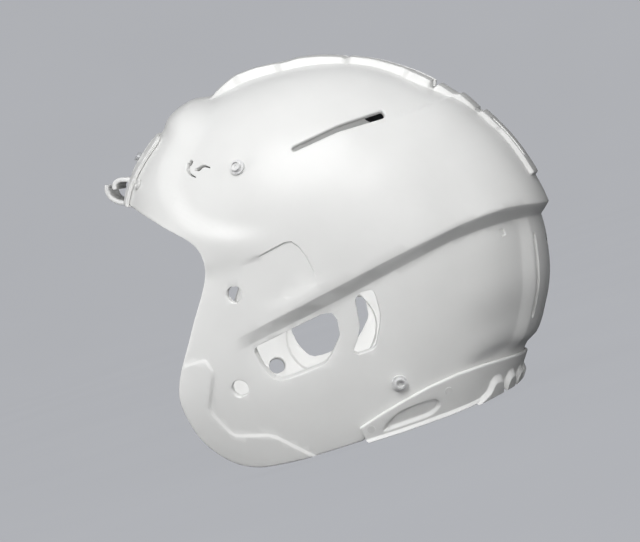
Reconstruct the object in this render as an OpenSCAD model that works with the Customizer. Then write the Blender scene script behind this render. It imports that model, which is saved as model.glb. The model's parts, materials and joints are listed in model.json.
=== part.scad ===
// Football helmet standing on its jaw flaps and nape bumper.
// Front is -Y, the wearer's left is +X, up is +Z, and the ground is Z = 0.
// The skin is measured from the ear axis, a line along X through the middle of the head.

/* [Shell] */
// Height of the ear axis above the ground
ear_z = 150; // [146:0.5:154]
// Half width of the shell over the ears
half_w = 115; // [110:0.5:120]
// Wall thickness of the shell
wall = 4; // [3:0.25:5]
// Radius from the ear axis to the crown
crown_r = 121; // [118:0.5:124]
// Radius from the ear axis to the brow
brow_r = 145; // [142:0.5:148]
// Radius from the ear axis to the back of the head
rear_r = 146.5; // [144:0.5:149]
// Radius from the ear axis to the lip over the nape
lip_r = 153; // [151:0.5:155]
// Radius from the ear axis to the nape, as if the lip ran on
nape_r = 166; // [164:0.5:168]
// Radius from the ear axis to the jaw, as if it closed under the chin
jaw_r = 205; // [201:1:209]
// Radius from the ear axis to the closed bottom that is cut away
base_r = 226; // [220:1:232]

/* [Raised areas] */
// Depth that the lower shell steps in below the flare line
flare_depth = 7.5; // [5:0.5:9]
// Height that the brow stands proud of the shell
bulge_h = 7; // [5:0.5:8]
// Height of the crest above the brow plate, over the brow
crest_h = 3; // [2:0.25:3.25]
// Half width of that crest
crest_half = 55; // [50:1:58]
// Depth of the scoops in the sides of the crown rails
scoop_w = 3.5; // [2:0.5:5]
// Height of the crown rails
rail_h = 6; // [4:0.5:7]
// Width of each crown rail
rail_w = 20; // [16:1:24]
// Half width of the valley between the rails
valley_half = 8; // [6:0.5:10]
// Height of the vent block at the upper back
block_h = 4; // [3:0.5:5]
// Height of the raised panel at the back of the neck
occiput_h = 1; // [0.5:0.25:2]
// Half width of the raised panel at the back of the neck
occiput_half = 42; // [38:1:46]
// Height of the raised jaw corner
jaw_panel_h = 1.3; // [1:0.1:2]
// Depth of the recess over the temple
recess_depth = 1.2; // [0.6:0.1:1.6]

/* [Holes] */
// Radius of the upper face guard holes
guard_top_r = 5.6; // [5:0.1:6.5]
// Radius of the lower face guard holes
guard_low_r = 6; // [5:0.1:6.5]
// Width of the vent slots at the back
vent_w = 5; // [4:0.5:6]

/* [Chin strap snaps] */
// Radius of the flange of a snap
snap_flange_r = 5.5; // [5:0.1:6.5]
// Thickness of the flange of a snap
snap_flange_t = 1.8; // [1.2:0.1:2.4]
// Radius of the post of a snap
snap_post_r = 3.7; // [3.4:0.1:4.2]
// Height of a snap with its post
snap_h = 4.6; // [4:0.1:5.4]
// Radius of the hollow in the post
snap_hollow_r = 2.5; // [2.3:0.1:2.7]
// Radius of the screw shank through the wall
snap_shank_r = 1.6; // [1.3:0.1:1.8]
// Radius of the tee nut flange inside the wall
tee_r = 7; // [6:0.5:8]
// Thickness of the tee nut flange
tee_t = 1.3; // [1:0.1:1.6]
// Height of the tee nut barrel
tee_barrel_h = 3; // [2:0.25:3.5]

/* [Brow plate and clip] */
// Thickness of the brow plate
plate_t = 3.4; // [2.5:0.1:4]
// Half width of the brow plate
plate_half = 48; // [40:1:52]
// Half width of the face guard clip
clip_half = 22; // [16:1:26]
// Thickness of the arms of the clip
clip_t = 3.2; // [2.6:0.1:3.6]
// Thickness of the web of the clip
web_t = 1.4; // [1.2:0.1:2]
// Inner radius of the bar seat in the clip
seat_r = 5; // [4.6:0.1:5.2]
// Radius of the brow screw heads
brow_screw_r = 3.4; // [2.8:0.1:4]

/* [Nape bumper] */
// Thickness of the nape bumper over the shell
bumper_t = 2.8; // [2:0.1:3.5]
// Height of the shell edge inside the bumper
rim_z = 2.4; // [2:0.1:3]
// Width of the outward lip at the foot of the bumper
foot_w = 1.6; // [1:0.1:2]

/* [Liner] */
// Space between the wall and a pad, filled by the fasteners
liner_gap = 2; // [1.8:0.1:2.6]
// Thickness of the crown, back and side pads
pad_t = 19; // [15:0.5:21]
// Thickness of the brow pad
front_pad_t = 18; // [14:0.5:20]
// Thickness of the nape pad
nape_pad_t = 14; // [11:0.5:17]
// Thickness of the jaw pads
jaw_pad_t = 20; // [15:0.5:23]
// Thickness at the edge of a pad
pad_edge = 6; // [4:0.5:8]
// Half size of the square liner fasteners
fastener_half = 9; // [7:0.5:10]
// Thickness of the liner fasteners
fastener_t = 0.8; // [0.6:0.1:1]
// Radius of the jaw pad studs
stud_r = 4.5; // [3.5:0.5:5.5]
// Radius of the inflation valves
valve_r = 4; // [3:0.25:5]

/* [Hidden] */

WHITE = "#f2f2f0";
RUBBER = "#2c2d2f";
FOAM = "#3a3c40";
STEEL = "#b9bcc0";

// Cuts reach this far past what they cut
over = 2;
// Half size of the block that a side outline is extruded from
reach = 260;
// Clearance between pieces that must not touch
clear = 0.2;
// Facets round a screw or a snap
round_fn = 48;

// Steps round the head and across it on the shell's skin
RING = 54;
ACROSS = 20;

// The middle line of the skin as angle about the ear axis and radius.
// Angle 0 is the back of the head, 90 the crown, 180 the front and 270 the ground.
PROFILE = [
    [0, rear_r], [12, rear_r - 7], [25, rear_r - 14.5], [40, crown_r + 2],
    [60, crown_r], [90, crown_r], [106, crown_r + 4.5], [120, brow_r - 14],
    [135, brow_r - 8], [150, brow_r - 1], [160, brow_r + 1], [180, brow_r + 14],
    [205, jaw_r - 14], [220, jaw_r + 6], [245, base_r], [270, base_r - 5],
    [287, base_r - 28], [300, nape_r + 16], [312, nape_r + 5], [327, nape_r],
    [340, lip_r + 7], [351, lip_r]];

// Slope of the profile at one of its points
function slope(i) = let(
    n = len(PROFILE),
    before = PROFILE[(i + n - 1) % n],
    after = PROFILE[(i + 1) % n],
    span = (after[0] - before[0] + 720) % 360)
    (after[1] - before[1]) / span;

// Radius of the middle line at angle a, a smooth curve through the profile
function middle(a) = let(
    turn = ((a % 360) + 360) % 360,
    n = len(PROFILE),
    i = max([for (k = [0 : n - 1]) if (PROFILE[k][0] <= turn) k]),
    p = PROFILE[i],
    q = PROFILE[(i + 1) % n],
    span = (q[0] - p[0] + 360) % 360,
    t = (turn - p[0]) / span)
    p[1] * (2 * t * t * t - 3 * t * t + 1) + q[1] * (3 * t * t - 2 * t * t * t)
        + slope(i) * span * (t * t * t - 2 * t * t + t)
        + slope((i + 1) % n) * span * (t * t * t - t * t);

// Squareness of the section across the head, rounder over the crown
function power(a) = 2.4 - 0.2 * sin(a);

// Smooth step from 0 to 1
function ease(t) = let(c = min(1, max(0, t))) c * c * (3 - 2 * c);

// Depth of the step below the flare line at a place along the helmet
flare_from = -78;
flare_to = 2;
function flare(y) = flare_depth * ease((y - flare_from) / (flare_to - flare_from));

// Point of the skin at ring angle a and cross angle f, raised by s.
// Where low is 1 the point lies on the lower shell, inside the flare.
function skin(a, f, s = 0, low = 0) = let(
    r0 = middle(a) * pow(cos(f), 2 / power(a)),
    t = s - low * flare(r0 * cos(a)),
    x = sign(f) * (half_w + t) * pow(abs(sin(f)), 2 / power(a)),
    r = (middle(a) + t) * pow(cos(f), 2 / power(a)))
    [x, r * cos(a), ear_z + r * sin(a)];

// Point of the left skin beside y and z, raised by s
function flank(y, z, s = 0, low = 0) = let(
    a = atan2(z - ear_z, y),
    t = s - low * flare(y),
    q = norm([y, z - ear_z]) / (middle(a) + t))
    [(half_w + t) * pow(max(0, 1 - pow(q, power(a))), 1 / power(a)), y, z];

function unit(v) = v / norm(v);
// Outward direction of the skin at ring angle a and cross angle f
function skin_out(a, f, low = 0) =
    unit(cross(skin(a + 1, f, 0, low) - skin(a - 1, f, 0, low),
        skin(a, f + 1, 0, low) - skin(a, f - 1, 0, low)));
// Outward direction of the left skin beside y and z
function flank_out(y, z, low = 0) =
    unit(cross(flank(y + 1, z, 0, low) - flank(y - 1, z, 0, low),
        flank(y, z + 1, 0, low) - flank(y, z - 1, 0, low)));

// Stand the children on a point with +Z along a direction
module stand(p, d) {
    translate(p)
        rotate([0, acos(d[2]), atan2(d[1], d[0])])
            children();
}

// Do the same on the left and on the right
module both() {
    children();
    mirror([1, 0, 0])
        children();
}

// Extrude an outline drawn in Y and Z through the whole width
module across(from = -reach, to = reach) {
    translate([from, 0, 0])
        rotate([90, 0, 90])
            linear_extrude(to - from)
                children();
}

// Closed solid bounded by the whole skin raised by s
module skin_body(s, low = 0) {
    rows = ACROSS - 1;
    points = concat(
        [for (j = [1 : rows]) for (i = [0 : RING - 1])
            skin(360 * i / RING, -90 + 180 * j / ACROSS, s, low)],
        [skin(0, -90, s, low), skin(0, 90, s, low)]);
    function id(i, j) = (j - 1) * RING + i % RING;
    left = rows * RING + 1;
    right = rows * RING;
    faces = concat(
        [for (j = [1 : rows - 1]) for (i = [0 : RING - 1]) each [
            [id(i, j), id(i + 1, j + 1), id(i + 1, j)],
            [id(i, j), id(i, j + 1), id(i + 1, j + 1)]]],
        [for (i = [0 : RING - 1]) [right, id(i, 1), id(i + 1, 1)]],
        [for (i = [0 : RING - 1]) [left, id(i + 1, rows), id(i, rows)]]);
    polyhedron(points, faces);
}

// Closed solid between two grids of points of the same size
module between(outer, inner) {
    m = len(outer);
    n = len(outer[0]);
    points = concat([for (row = outer) each row], [for (row = inner) each row]);
    function o(i, j) = i * n + j;
    function q(i, j) = m * n + i * n + j;
    function quad(a, b, c, d) = [[a, b, c], [a, c, d]];
    faces = concat(
        [for (i = [0 : m - 2]) for (j = [0 : n - 2])
            each quad(o(i, j), o(i, j + 1), o(i + 1, j + 1), o(i + 1, j))],
        [for (i = [0 : m - 2]) for (j = [0 : n - 2])
            each quad(q(i, j), q(i + 1, j), q(i + 1, j + 1), q(i, j + 1))],
        [for (i = [0 : m - 2]) each quad(o(i, 0), o(i + 1, 0), q(i + 1, 0), q(i, 0))],
        [for (i = [0 : m - 2]) each quad(o(i + 1, n - 1), o(i, n - 1), q(i, n - 1), q(i + 1, n - 1))],
        [for (j = [0 : n - 2]) each quad(o(0, j + 1), o(0, j), q(0, j), q(0, j + 1))],
        [for (j = [0 : n - 2]) each quad(o(m - 1, j), o(m - 1, j + 1), q(m - 1, j + 1), q(m - 1, j))]);
    polyhedron(points, faces);
}

// Crown of a cushion: full in the middle, low at its edge, sewn into cells
function pillow(u, v, cells_u, cells_v) =
    (1 - pow(2 * u - 1, 6)) * (1 - pow(2 * v - 1, 6))
        * (0.72 + 0.28 * pow(abs(sin(180 * cells_u * u) * sin(180 * cells_v * v)), 0.5));

// Side outlines in Y and Z

// Foot of the nape bumper as height over Y
FOOT = [[-14, 0], [62, 0], [80, 2.6], [96, 7.6], [112, 15], [128, 22], [reach, 22]];
// Top of the nape bumper as height over Y
TOP = [[-14, 12.5], [2, 17], [20, 21.2], [38, 24.6], [60, 27], [74, 27], [86, 26.4], [99, 25.2], [128, 24.5]];

// What is kept of the shell: brow, face opening, jaw and lower edge
RIM = [
    [reach, reach * 2], [-reach, reach * 2], [-reach, 207.5], [-134, 207.5], [-126, 203.5],
    [-117, 195.5], [-103, 182], [-93, 173], [-87.5, 166], [-85.5, 158], [-86.3, 149],
    [-90.3, 140], [-96.5, 130], [-104.5, 118.5], [-113, 105.5], [-123.5, 90], [-130.5, 76],
    [-132.5, 66], [-131.3, 56], [-126.3, 40], [-117.5, 26], [-105.4, 14], [-92, 5.5],
    [-76, 0], [-18, 0], each [for (p = FOOT) [p[0], p[1] + rim_z]]];

// The flare line, from over the ear hole to the back
FLARE = [[-76, 96], [-30, 101.5], [10, 108], [42, 114.5], [72, 119], [92, 121.5],
    [108, 122.5], [128, 122.5], [145, 120.5], [reach, 119]];

EAR_FRONT = [[-69, 86], [-66, 74], [-61, 64], [-55, 61.2], [-38, 62], [-24, 63.2],
    [-16.5, 70], [-9.5, 78], [-7.8, 90], [-11, 96.8], [-40, 92.5], [-67, 88.2]];
EAR_REAR = [[8.9, 98.5], [11.5, 101.4], [16, 102.8], [22, 102], [23.4, 99], [22.8, 84],
    [20.3, 76.7], [12.5, 62.8], [8, 61.8], [-3, 61.8], [-4, 64], [1.6, 71], [6.7, 80]];
SLOT = [[-2, 211.2], [-0.6, 209.6], [31.6, 213.6], [64.5, 213.2], [66, 215], [64.8, 218.6],
    [32.8, 217.8], [-1, 213]];
BROW = [[-45, 290], [-52, 264], [-58, 247], [-69, 232], [-78, 225], [-84, 215], [-83, 203],
    [-77, 189], [-62, 178], [-40, 170], [-20, 166], [-20, 140], [-reach, 140], [-reach, 290]];
JAW_PANEL = [[-150, 91], [-126, 91], [-103.8, 91], [-100.7, 80], [-113, 55.5], [-102, 34],
    [-75, 27], [-50, 0], [-50, -20], [-150, -20]];
RECESS = [[-55, 146], [-22, 152], [-17, 151], [-14.7, 146], [-14.5, 121], [-17, 118],
    [-20, 117.4], [-55, 112.5]];

// Places on the left side in Y and Z
GUARD_TOP = [-70, 127.5];
GUARD_LOW = [-87.2, 63.5];
SNAP_TOP = [-42, 211];
SNAP_LOW = [20, 34.3];

// Ring angles of the raised areas along the middle
rail_from = 112.2;
rail_to = 37.6;
SCOOPS = [[108, 90], [68.5, 45]];
BLOCKS = [[36, 29.5], [29, 22.5], [20.7, -3]];
crest_from = 130.6;
crest_to = 121.3;
vent_from = 17;
vent_to = 3;

// Prism over a band of the head between two ring angles
module ring_band(from, to) {
    translate([-reach, 0, ear_z])
        rotate([90, 0, 90])
            linear_extrude(2 * reach)
                polygon([[0, 0], [reach * cos(from), reach * sin(from)],
                    [reach * cos((from + to) / 2), reach * sin((from + to) / 2)] * 1.3,
                    [reach * cos(to), reach * sin(to)]]);
}

// Height that the lower shell runs on inside the upper one
lap = 6;

// Rise of the brow in steps: share of its height, distance inside the outline, lowest Z, last Y at the foot
BROW_STEPS = [[1 / 3, 3.7, 145, -45], [2 / 3, 7, 159, -59], [1, 10.3, 175, -59]];

// Upper shell, lower shell and brow, drawn in by t
module moulded_form(t) {
    intersection() {
        skin_body(-t);
        across()
            offset(delta = -t)
                polygon(concat([for (p = FLARE) p],
                    [[reach, reach * 2], [-reach, reach * 2], [-reach, 96], [-76, 96]]));
    }
    intersection() {
        skin_body(-t, 1);
        across()
            polygon(concat([for (p = FLARE) p + [0, lap]],
                [[reach, -reach], [-reach, -reach], [-reach, 96 + lap]]));
    }
    for (step = BROW_STEPS)
        difference() {
            intersection() {
                skin_body(bulge_h * step[0] - t);
                across()
                    offset(delta = -t - step[1])
                        polygon(BROW);
                translate([-reach, -reach, step[2] + t])
                    cube(2 * reach);
            }
            translate([-reach, step[3] - t, 0])
                cube([2 * reach, reach, 186]);
        }
}

// Solid ribs moulded on the outside: crest of the brow, crown rails, vent blocks and nape panel
module ribs() {
    intersection() {
        skin_body(bulge_h + crest_h);
        ring_band(crest_from, crest_to);
        translate([-crest_half, -reach, 0])
            cube([2 * crest_half, 2 * reach, 2 * reach]);
    }
    intersection() {
        skin_body(rail_h);
        ring_band(rail_from, rail_to);
        both()
            difference() {
                translate([valley_half, -reach, 0])
                    cube([rail_w, 2 * reach, 2 * reach]);
                for (scoop = SCOOPS)
                    intersection() {
                        ring_band(scoop[0], scoop[1]);
                        translate([valley_half + rail_w - scoop_w, -reach, 0])
                            cube([2 * scoop_w, 2 * reach, 2 * reach]);
                    }
            }
    }
    for (block = BLOCKS)
        intersection() {
            skin_body(block_h);
            ring_band(block[0], block[1]);
            translate([-valley_half - rail_w, 0, 0])
                cube([2 * (valley_half + rail_w), 2 * reach, 2 * reach]);
        }
    intersection() {
        skin_body(occiput_h, 1);
        translate([-occiput_half, 60, 42])
            cube([2 * occiput_half, reach, 76]);
    }
}

// The moulding with everything cut but the round holes that a face guard bolts to
module shell_moulding() {
    difference() {
        intersection() {
            union() {
                moulded_form(0);
                ribs();
                intersection() {
                    skin_body(jaw_panel_h);
                    across()
                        polygon(JAW_PANEL);
                }
            }
            across()
                polygon(RIM);
        }
        moulded_form(wall);
        across()
            polygon(EAR_FRONT);
        across()
            polygon(EAR_REAR);
        across()
            polygon(SLOT);
        both()
            difference() {
                across(half_w / 2, reach)
                    polygon(RECESS);
                skin_body(-recess_depth);
            }
        both()
            translate([valley_half + rail_w / 2 - vent_w / 2, 0, ear_z])
                intersection() {
                    cube([vent_w, reach, reach]);
                    translate([0, 0, -ear_z])
                        ring_band(vent_from, vent_to);
                }
        both()
            translate([occiput_half - 14, 60, 52])
                cube([vent_w / 2, reach, 52]);
    }
}

// Put the children at each of the four snaps, standing out of the shell
module snap_places() {
    both() {
        stand(flank(SNAP_TOP[0], SNAP_TOP[1]), flank_out(SNAP_TOP[0], SNAP_TOP[1]))
            children();
        stand(flank(SNAP_LOW[0], SNAP_LOW[1], 0, 1), flank_out(SNAP_LOW[0], SNAP_LOW[1], 1))
            children();
    }
}

// Shell with the four round holes for the face guard
module shell() {
    color(WHITE)
        difference() {
            minkowski() {
                shell_moulding();
            }
            both() {
                guard_hole(GUARD_TOP, guard_top_r, 0);
                guard_hole(GUARD_LOW, guard_low_r, 1);
            }
            snap_places()
                cylinder(h = 4 * wall, r = snap_shank_r + clear, center = true, $fn = round_fn);
            crown_valve_place()
                cylinder(h = 6 * wall, r = valve_r + clear, center = true, $fn = round_fn);
            nape_valve_place()
                cylinder(h = 6 * wall, r = valve_r + clear, center = true, $fn = round_fn);
        }
}

// One round hole square through a side wall
module guard_hole(place, r, low) {
    stand(flank(place[0], place[1], 0, low), flank_out(place[0], place[1], low))
        cylinder(h = 6 * wall, r = r, center = true, $fn = 64);
}

// Plate over the brow that carries the face guard clip
module front_bumper() {
    color(WHITE)
        plate_solid(bulge_h + plate_t, bulge_h + plate_gap);
}

// Ring angles of the plate's upper and lower edge
plate_from = 132;
plate_to = 157;
// Gap between the plate and the brow
plate_gap = 0.3;

// Closed solid over the brow between two heights above the skin
module plate_solid(top, bottom) {
    rows = 10;
    columns = 16;
    function grid(s) = [for (i = [0 : rows]) [for (j = [0 : columns])
        plate_point(plate_from + (plate_to - plate_from) * i / rows, plate_half * (2 * j / columns - 1), s)]];
    between(grid(top), grid(bottom));
}

// Point over the brow at ring angle a and width x, raised by s
function plate_point(a, x, s) = let(
    q = pow(1 - pow(abs(x) / (half_w + s), power(a)), 1 / power(a)),
    r = (middle(a) + s) * q)
    [x, r * cos(a), ear_z + r * sin(a)];

// Side outline of the clip: an upper arm bent down and a lower arm bent up round a bar
module clip_outline() {
    seat = CLIP_SEAT;
    difference() {
        union() {
            translate(seat)
                circle(r = seat_r + clip_t, $fn = 48);
            translate([seat[0], seat[1] + seat_r])
                square([CLIP_BACK - seat[0], clip_t]);
            translate([seat[0], seat[1] - seat_r - clip_t])
                square([CLIP_BACK - seat[0], clip_t]);
        }
        translate(seat)
            circle(r = seat_r, $fn = 48);
        translate([seat[0], seat[1] - seat_r])
            square([CLIP_BACK - seat[0], 2 * seat_r]);
        translate(seat)
            rotate(155)
                translate([0, -1.2])
                    square([3 * seat_r, 2.4]);
    }
}
// Ring angle of the bar seat, its centre in Y and Z, and how far back the arms reach
seat_ring = 153.3;
CLIP_SEAT = let(p = plate_point(seat_ring, 0, bulge_h + plate_t + web_t + seat_r + clear)) [p[1], p[2]];
CLIP_BACK = CLIP_SEAT[0] + 2 * seat_r;

// Clip for the face guard's top bar, with a web that lies on the brow plate
module face_guard_clip() {
    color(WHITE)
        difference() {
            union() {
                across(-clip_half, clip_half)
                    clip_outline();
                intersection() {
                    skin_body(bulge_h + plate_t + web_t);
                    translate([-clip_half, -reach, CLIP_SEAT[1] - seat_r - clip_t])
                        cube([2 * clip_half, reach, 2 * (seat_r + clip_t)]);
                }
            }
            plate_solid(bulge_h + plate_t + clear, -over);
            skin_body(bulge_h + plate_t - 1);
        }
}

// Heads on the brow plate that hold the clip
module clip_screws() {
    color(STEEL)
        both()
            brow_head(142, 30, bulge_h + plate_t + clear);
}

module brow_screws() {
    color(WHITE)
        both()
            brow_head(149, plate_half + 8, bulge_h + clear);
}

// Low round screw head on the brow at ring angle a and width x
module brow_head(a, x, s) {
    p = plate_point(a, x, s);
    d = unit(cross(plate_point(a, x + 1, s) - plate_point(a, x - 1, s),
        plate_point(a + 1, x, s) - plate_point(a - 1, x, s)));
    stand(p, d[1] > 0 ? -d : d)
        difference() {
            cylinder(h = 1.8, r = brow_screw_r, $fn = round_fn);
            translate([0, 0, 1])
                cylinder(h = over, r = brow_screw_r / 2, $fn = 6);
        }
}

// Radius at plan angle turn and height z where the skin raised by s lies, by halving
function level_r(turn, z, s, low, near = 20, far = 220, left = 26) = let(
    mid = (near + far) / 2,
    y = mid * cos(turn),
    a = atan2(z - ear_z, y),
    t = s - low * flare(y),
    q = pow(mid * sin(turn) / (half_w + t), power(a)) + pow(norm([y, z - ear_z]) / (middle(a) + t), power(a)))
    left == 0 ? mid
        : q < 1 ? level_r(turn, z, s, low, mid, far, left - 1)
        : level_r(turn, z, s, low, near, mid, left - 1);

// Point at plan angle turn from the back, at height z, on the skin raised by s
function level(turn, z, s, low = 1) = let(r = level_r(abs(turn), z, s, low))
    [r * sin(turn), r * cos(turn), z];

// Height of the bumper's foot, and of its top, at plan angle turn on the skin raised by s
function foot_at(turn, s) = let(z = lookup(level(turn, 8, s)[1], FOOT))
    lookup(level(turn, z + rim_z, s)[1], FOOT);
function top_at(turn) = lookup(level(turn, 20, bumper_t)[1], TOP);

// Soft edge round the foot of the shell, from behind the jaw to the nape
module rear_bumper() {
    steps = 44;
    turns = [for (i = [0 : steps]) bumper_turn * (1 - 2 * i / steps)];
    foot = bumper_t + foot_w;
    color(WHITE)
        between(
            [for (turn = turns) [
                level(turn, foot_at(turn, foot), foot), level(turn, foot_at(turn, foot) + 2.2, foot),
                level(turn, foot_at(turn, bumper_t) + 3.4, bumper_t),
                level(turn, top_at(turn) - 1, bumper_t), level(turn, top_at(turn), bumper_t - 1)]],
            [for (turn = turns) [
                level(turn, foot_at(turn, -wall), -wall),
                level(turn, foot_at(turn, -wall) + rim_z - rim_gap, -wall),
                level(turn, foot_at(turn, rim_gap) + rim_z - rim_gap, rim_gap),
                level(turn, top_at(turn) - 1, rim_gap), level(turn, top_at(turn), rim_gap)]]);
}
// Plan angle from the back to each end of the bumper
bumper_turn = 98;
// Gap between the bumper and the shell that it grips
rim_gap = 0.6;

module rear_bumper_screws() {
    color(STEEL)
        both()
            for (place = [[-3, 11], [50, 18]])
                stand(flank(place[0], place[1], bumper_t + clear, 1), flank_out(place[0], place[1], 1))
                    difference() {
                        cylinder(h = 1.4, r = 3, $fn = round_fn);
                        translate([0, 0, 0.8])
                            cylinder(h = over, r = 1.4, $fn = 6);
                    }
}

// Chin strap snap: a flange with a hollow post
module snap() {
    color(STEEL)
        difference() {
            union() {
                cylinder(h = snap_flange_t, r = snap_flange_r, $fn = round_fn);
                cylinder(h = snap_h, r = snap_post_r, $fn = round_fn);
            }
            translate([0, 0, snap_flange_t])
                cylinder(h = snap_h, r = snap_hollow_r, $fn = round_fn);
            translate([0, 0, -over])
                cylinder(h = snap_h, r = snap_shank_r + clear, $fn = round_fn);
        }
}

// Gap under a flat flange on the round shell
snap_seat = 0.15;

module upper_snap_left() {
    stand(flank(SNAP_TOP[0], SNAP_TOP[1], snap_seat), flank_out(SNAP_TOP[0], SNAP_TOP[1]))
        snap();
}

module upper_snap_right() {
    mirror([1, 0, 0])
        upper_snap_left();
}

module lower_snap_left() {
    stand(flank(SNAP_LOW[0], SNAP_LOW[1], snap_seat, 1), flank_out(SNAP_LOW[0], SNAP_LOW[1], 1))
        snap();
}

module lower_snap_right() {
    mirror([1, 0, 0])
        lower_snap_left();
}

// Screw in each snap, its head in the hollow and its shank through the wall
module snap_screws() {
    head_h = 1.4;
    color(STEEL)
        snap_places() {
            translate([0, 0, snap_seat + snap_flange_t + 0.05])
                difference() {
                    cylinder(h = head_h, r = snap_hollow_r - clear / 2, $fn = round_fn);
                    translate([0, 0, head_h / 2])
                        cylinder(h = over, r = 1, $fn = 6);
                }
            translate([0, 0, -wall - tee_barrel_h])
                cylinder(h = wall + tee_barrel_h + snap_flange_t + head_h / 2, r = snap_shank_r, $fn = round_fn);
        }
}

// Gap between a flat tee nut and the round wall
tee_seat = 0.7;

// Nut inside the wall behind each snap
module snap_tee_nuts() {
    color(STEEL)
        snap_places()
            translate([0, 0, -wall - tee_seat - tee_t])
                difference() {
                    union() {
                        cylinder(h = tee_t, r = tee_r, $fn = round_fn);
                        translate([0, 0, tee_t - tee_barrel_h])
                            cylinder(h = tee_barrel_h, r = 2.8, $fn = round_fn);
                    }
                    translate([0, 0, -tee_barrel_h])
                        cylinder(h = 3 * tee_barrel_h, r = snap_shank_r + 0.1, $fn = round_fn);
                }
}

// Rear edge of the brow as its place along the helmet over height
BROW_EDGE = [for (i = [10 : -1 : 0]) [BROW[i][1], BROW[i][0]]];
// Length over which the brow pad rises into the pocket behind the brow
brow_rise = 16;
// Distance behind the brow's outline at which it starts to rise
brow_start = 12;

// Height that the pocket behind the brow lets a pad rise at point p
function brow_lift(p) =
    bulge_h * ease((lookup(p[2], BROW_EDGE) - brow_start - p[1]) / brow_rise);

// Cushion over part of the head, from ring angle a0 to a1 and half width f across
module head_pad(a0, a1, f, thick, low, nu, nv, cells_u, cells_v, in_brow = 0) {
    top = -wall - liner_gap;
    function lift(a, c) = in_brow * brow_lift(skin(a, c, top, low));
    function grid(deep) = [for (i = [0 : nu]) [for (j = [0 : nv])
        let(a = a0 + (a1 - a0) * i / nu, c = f * (2 * j / nv - 1))
        skin(a, c, top + lift(a, c)
            - deep * (pad_edge + (thick - pad_edge) * pillow(i / nu, j / nv, cells_u, cells_v)), low)]];
    between(grid(0), grid(1));
}

module front_pad() {
    color(FOAM)
        head_pad(124, 152, 44, front_pad_t, 0, 10, 24, 1, 4, in_brow = 1);
}

module crown_pad() {
    color(FOAM)
        head_pad(64, 116, 34, pad_t, 0, 18, 20, 3, 3);
}

module back_pad() {
    color(FOAM)
        head_pad(25, 57, 38, pad_t, 0, 12, 20, 2, 3);
}

module nape_pad() {
    color(FOAM)
        head_pad(-40, -12, 40, nape_pad_t, 1, 10, 24, 1, 4);
}

// Mix of the four corners of a side pad
function corner_mix(c, u, v) =
    c[0] * (1 - u) * (1 - v) + c[1] * u * (1 - v) + c[2] * u * v + c[3] * (1 - u) * v;

// Cushion on the left flank over a field with four corners in Y and Z
module flank_pad(c, thick, low, nu, nv, cells_u, cells_v) {
    top = -wall - liner_gap;
    between(
        [for (i = [0 : nu]) [for (j = [0 : nv])
            let(p = corner_mix(c, i / nu, j / nv))
            flank(p[0], p[1], top, low)]],
        [for (i = [0 : nu]) [for (j = [0 : nv])
            let(p = corner_mix(c, i / nu, j / nv))
            flank(p[0], p[1], top, low)
                - [pad_edge + (thick - pad_edge) * pillow(i / nu, j / nv, cells_u, cells_v), 0, 0]]]);
}

SIDE_PAD = [[-54, 126], [62, 126], [58, 192], [-54, 192]];
JAW_PAD = [[-84, 10], [-30, 10], [-24, 44], [-115, 49]];

module left_side_pad() {
    color(FOAM)
        flank_pad(SIDE_PAD, pad_t, 0, 16, 12, 3, 2);
}

module right_side_pad() {
    mirror([1, 0, 0])
        left_side_pad();
}

module left_jaw_pad() {
    color(FOAM)
        flank_pad(JAW_PAD, jaw_pad_t, 1, 14, 10, 2, 1);
}

module right_jaw_pad() {
    mirror([1, 0, 0])
        left_jaw_pad();
}

// Height over the skin of a fastener's face on the pad
function fastener_seat() = -wall - liner_gap + clear;

// Square of hook and loop that follows the wall round ring angle a and cross angle f
module head_fastener(a, f, s, low) {
    steps = [-1 : 1 / 3 : 1];
    turn = fastener_half / middle(a) * 180 / PI;
    lean = 0.6 * fastener_half / half_w * 180 / PI;
    function grid(h) = [for (u = steps) [for (v = steps) skin(a + turn * u, f + lean * v, s + h, low)]];
    between(grid(fastener_seat() + fastener_t), grid(fastener_seat()));
}

// Square of hook and loop that follows the left wall beside y and z
module flank_fastener(y, z) {
    steps = [-1 : 1 / 3 : 1];
    function grid(h) = [for (u = steps) [for (v = steps)
        flank(y + fastener_half * u, z + fastener_half * v, h)]];
    between(grid(fastener_seat() + fastener_t), grid(fastener_seat()));
}

// Hook and loop squares behind the head and side pads
module liner_fasteners() {
    color(RUBBER)
        both() {
            head_fastener(138, 14, bulge_h, 0);
            head_fastener(100, 15, 0, 0);
            head_fastener(76, 14, 0, 0);
            head_fastener(42, 15, 0, 0);
            head_fastener(-26, 10, 0, 1);
            flank_fastener(-30, 158);
            flank_fastener(36, 158);
        }
}

// Snap studs behind the jaw pads
module jaw_pad_studs() {
    color(STEEL)
        both()
            for (place = [[-86, 40], [-44, 30]])
                stand(flank(place[0], place[1], 0, 1), flank_out(place[0], place[1], 1))
                    translate([0, 0, fastener_seat()])
                        cylinder(h = fastener_t, r = stud_r, $fn = 32);
}

// Rubber valve through the wall, flush with the skin
module valve(h) {
    color(RUBBER)
        translate([0, 0, -h])
            difference() {
                cylinder(h = h, r = valve_r, $fn = round_fn);
                translate([0, 0, h - 1])
                    cylinder(h = over, r = valve_r / 3, $fn = 24);
            }
}

// Length that a valve reaches past the wall
valve_tail = 0.6;

module crown_valve_place() {
    stand(skin(84, 0), skin_out(84, 0))
        children();
}

module nape_valve_place() {
    stand(skin(-20, 0, occiput_h, 1), skin_out(-20, 0, 1))
        children();
}

module crown_valve() {
    crown_valve_place()
        valve(wall + valve_tail);
}

module nape_valve() {
    nape_valve_place()
        valve(wall + occiput_h + valve_tail);
}

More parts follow.
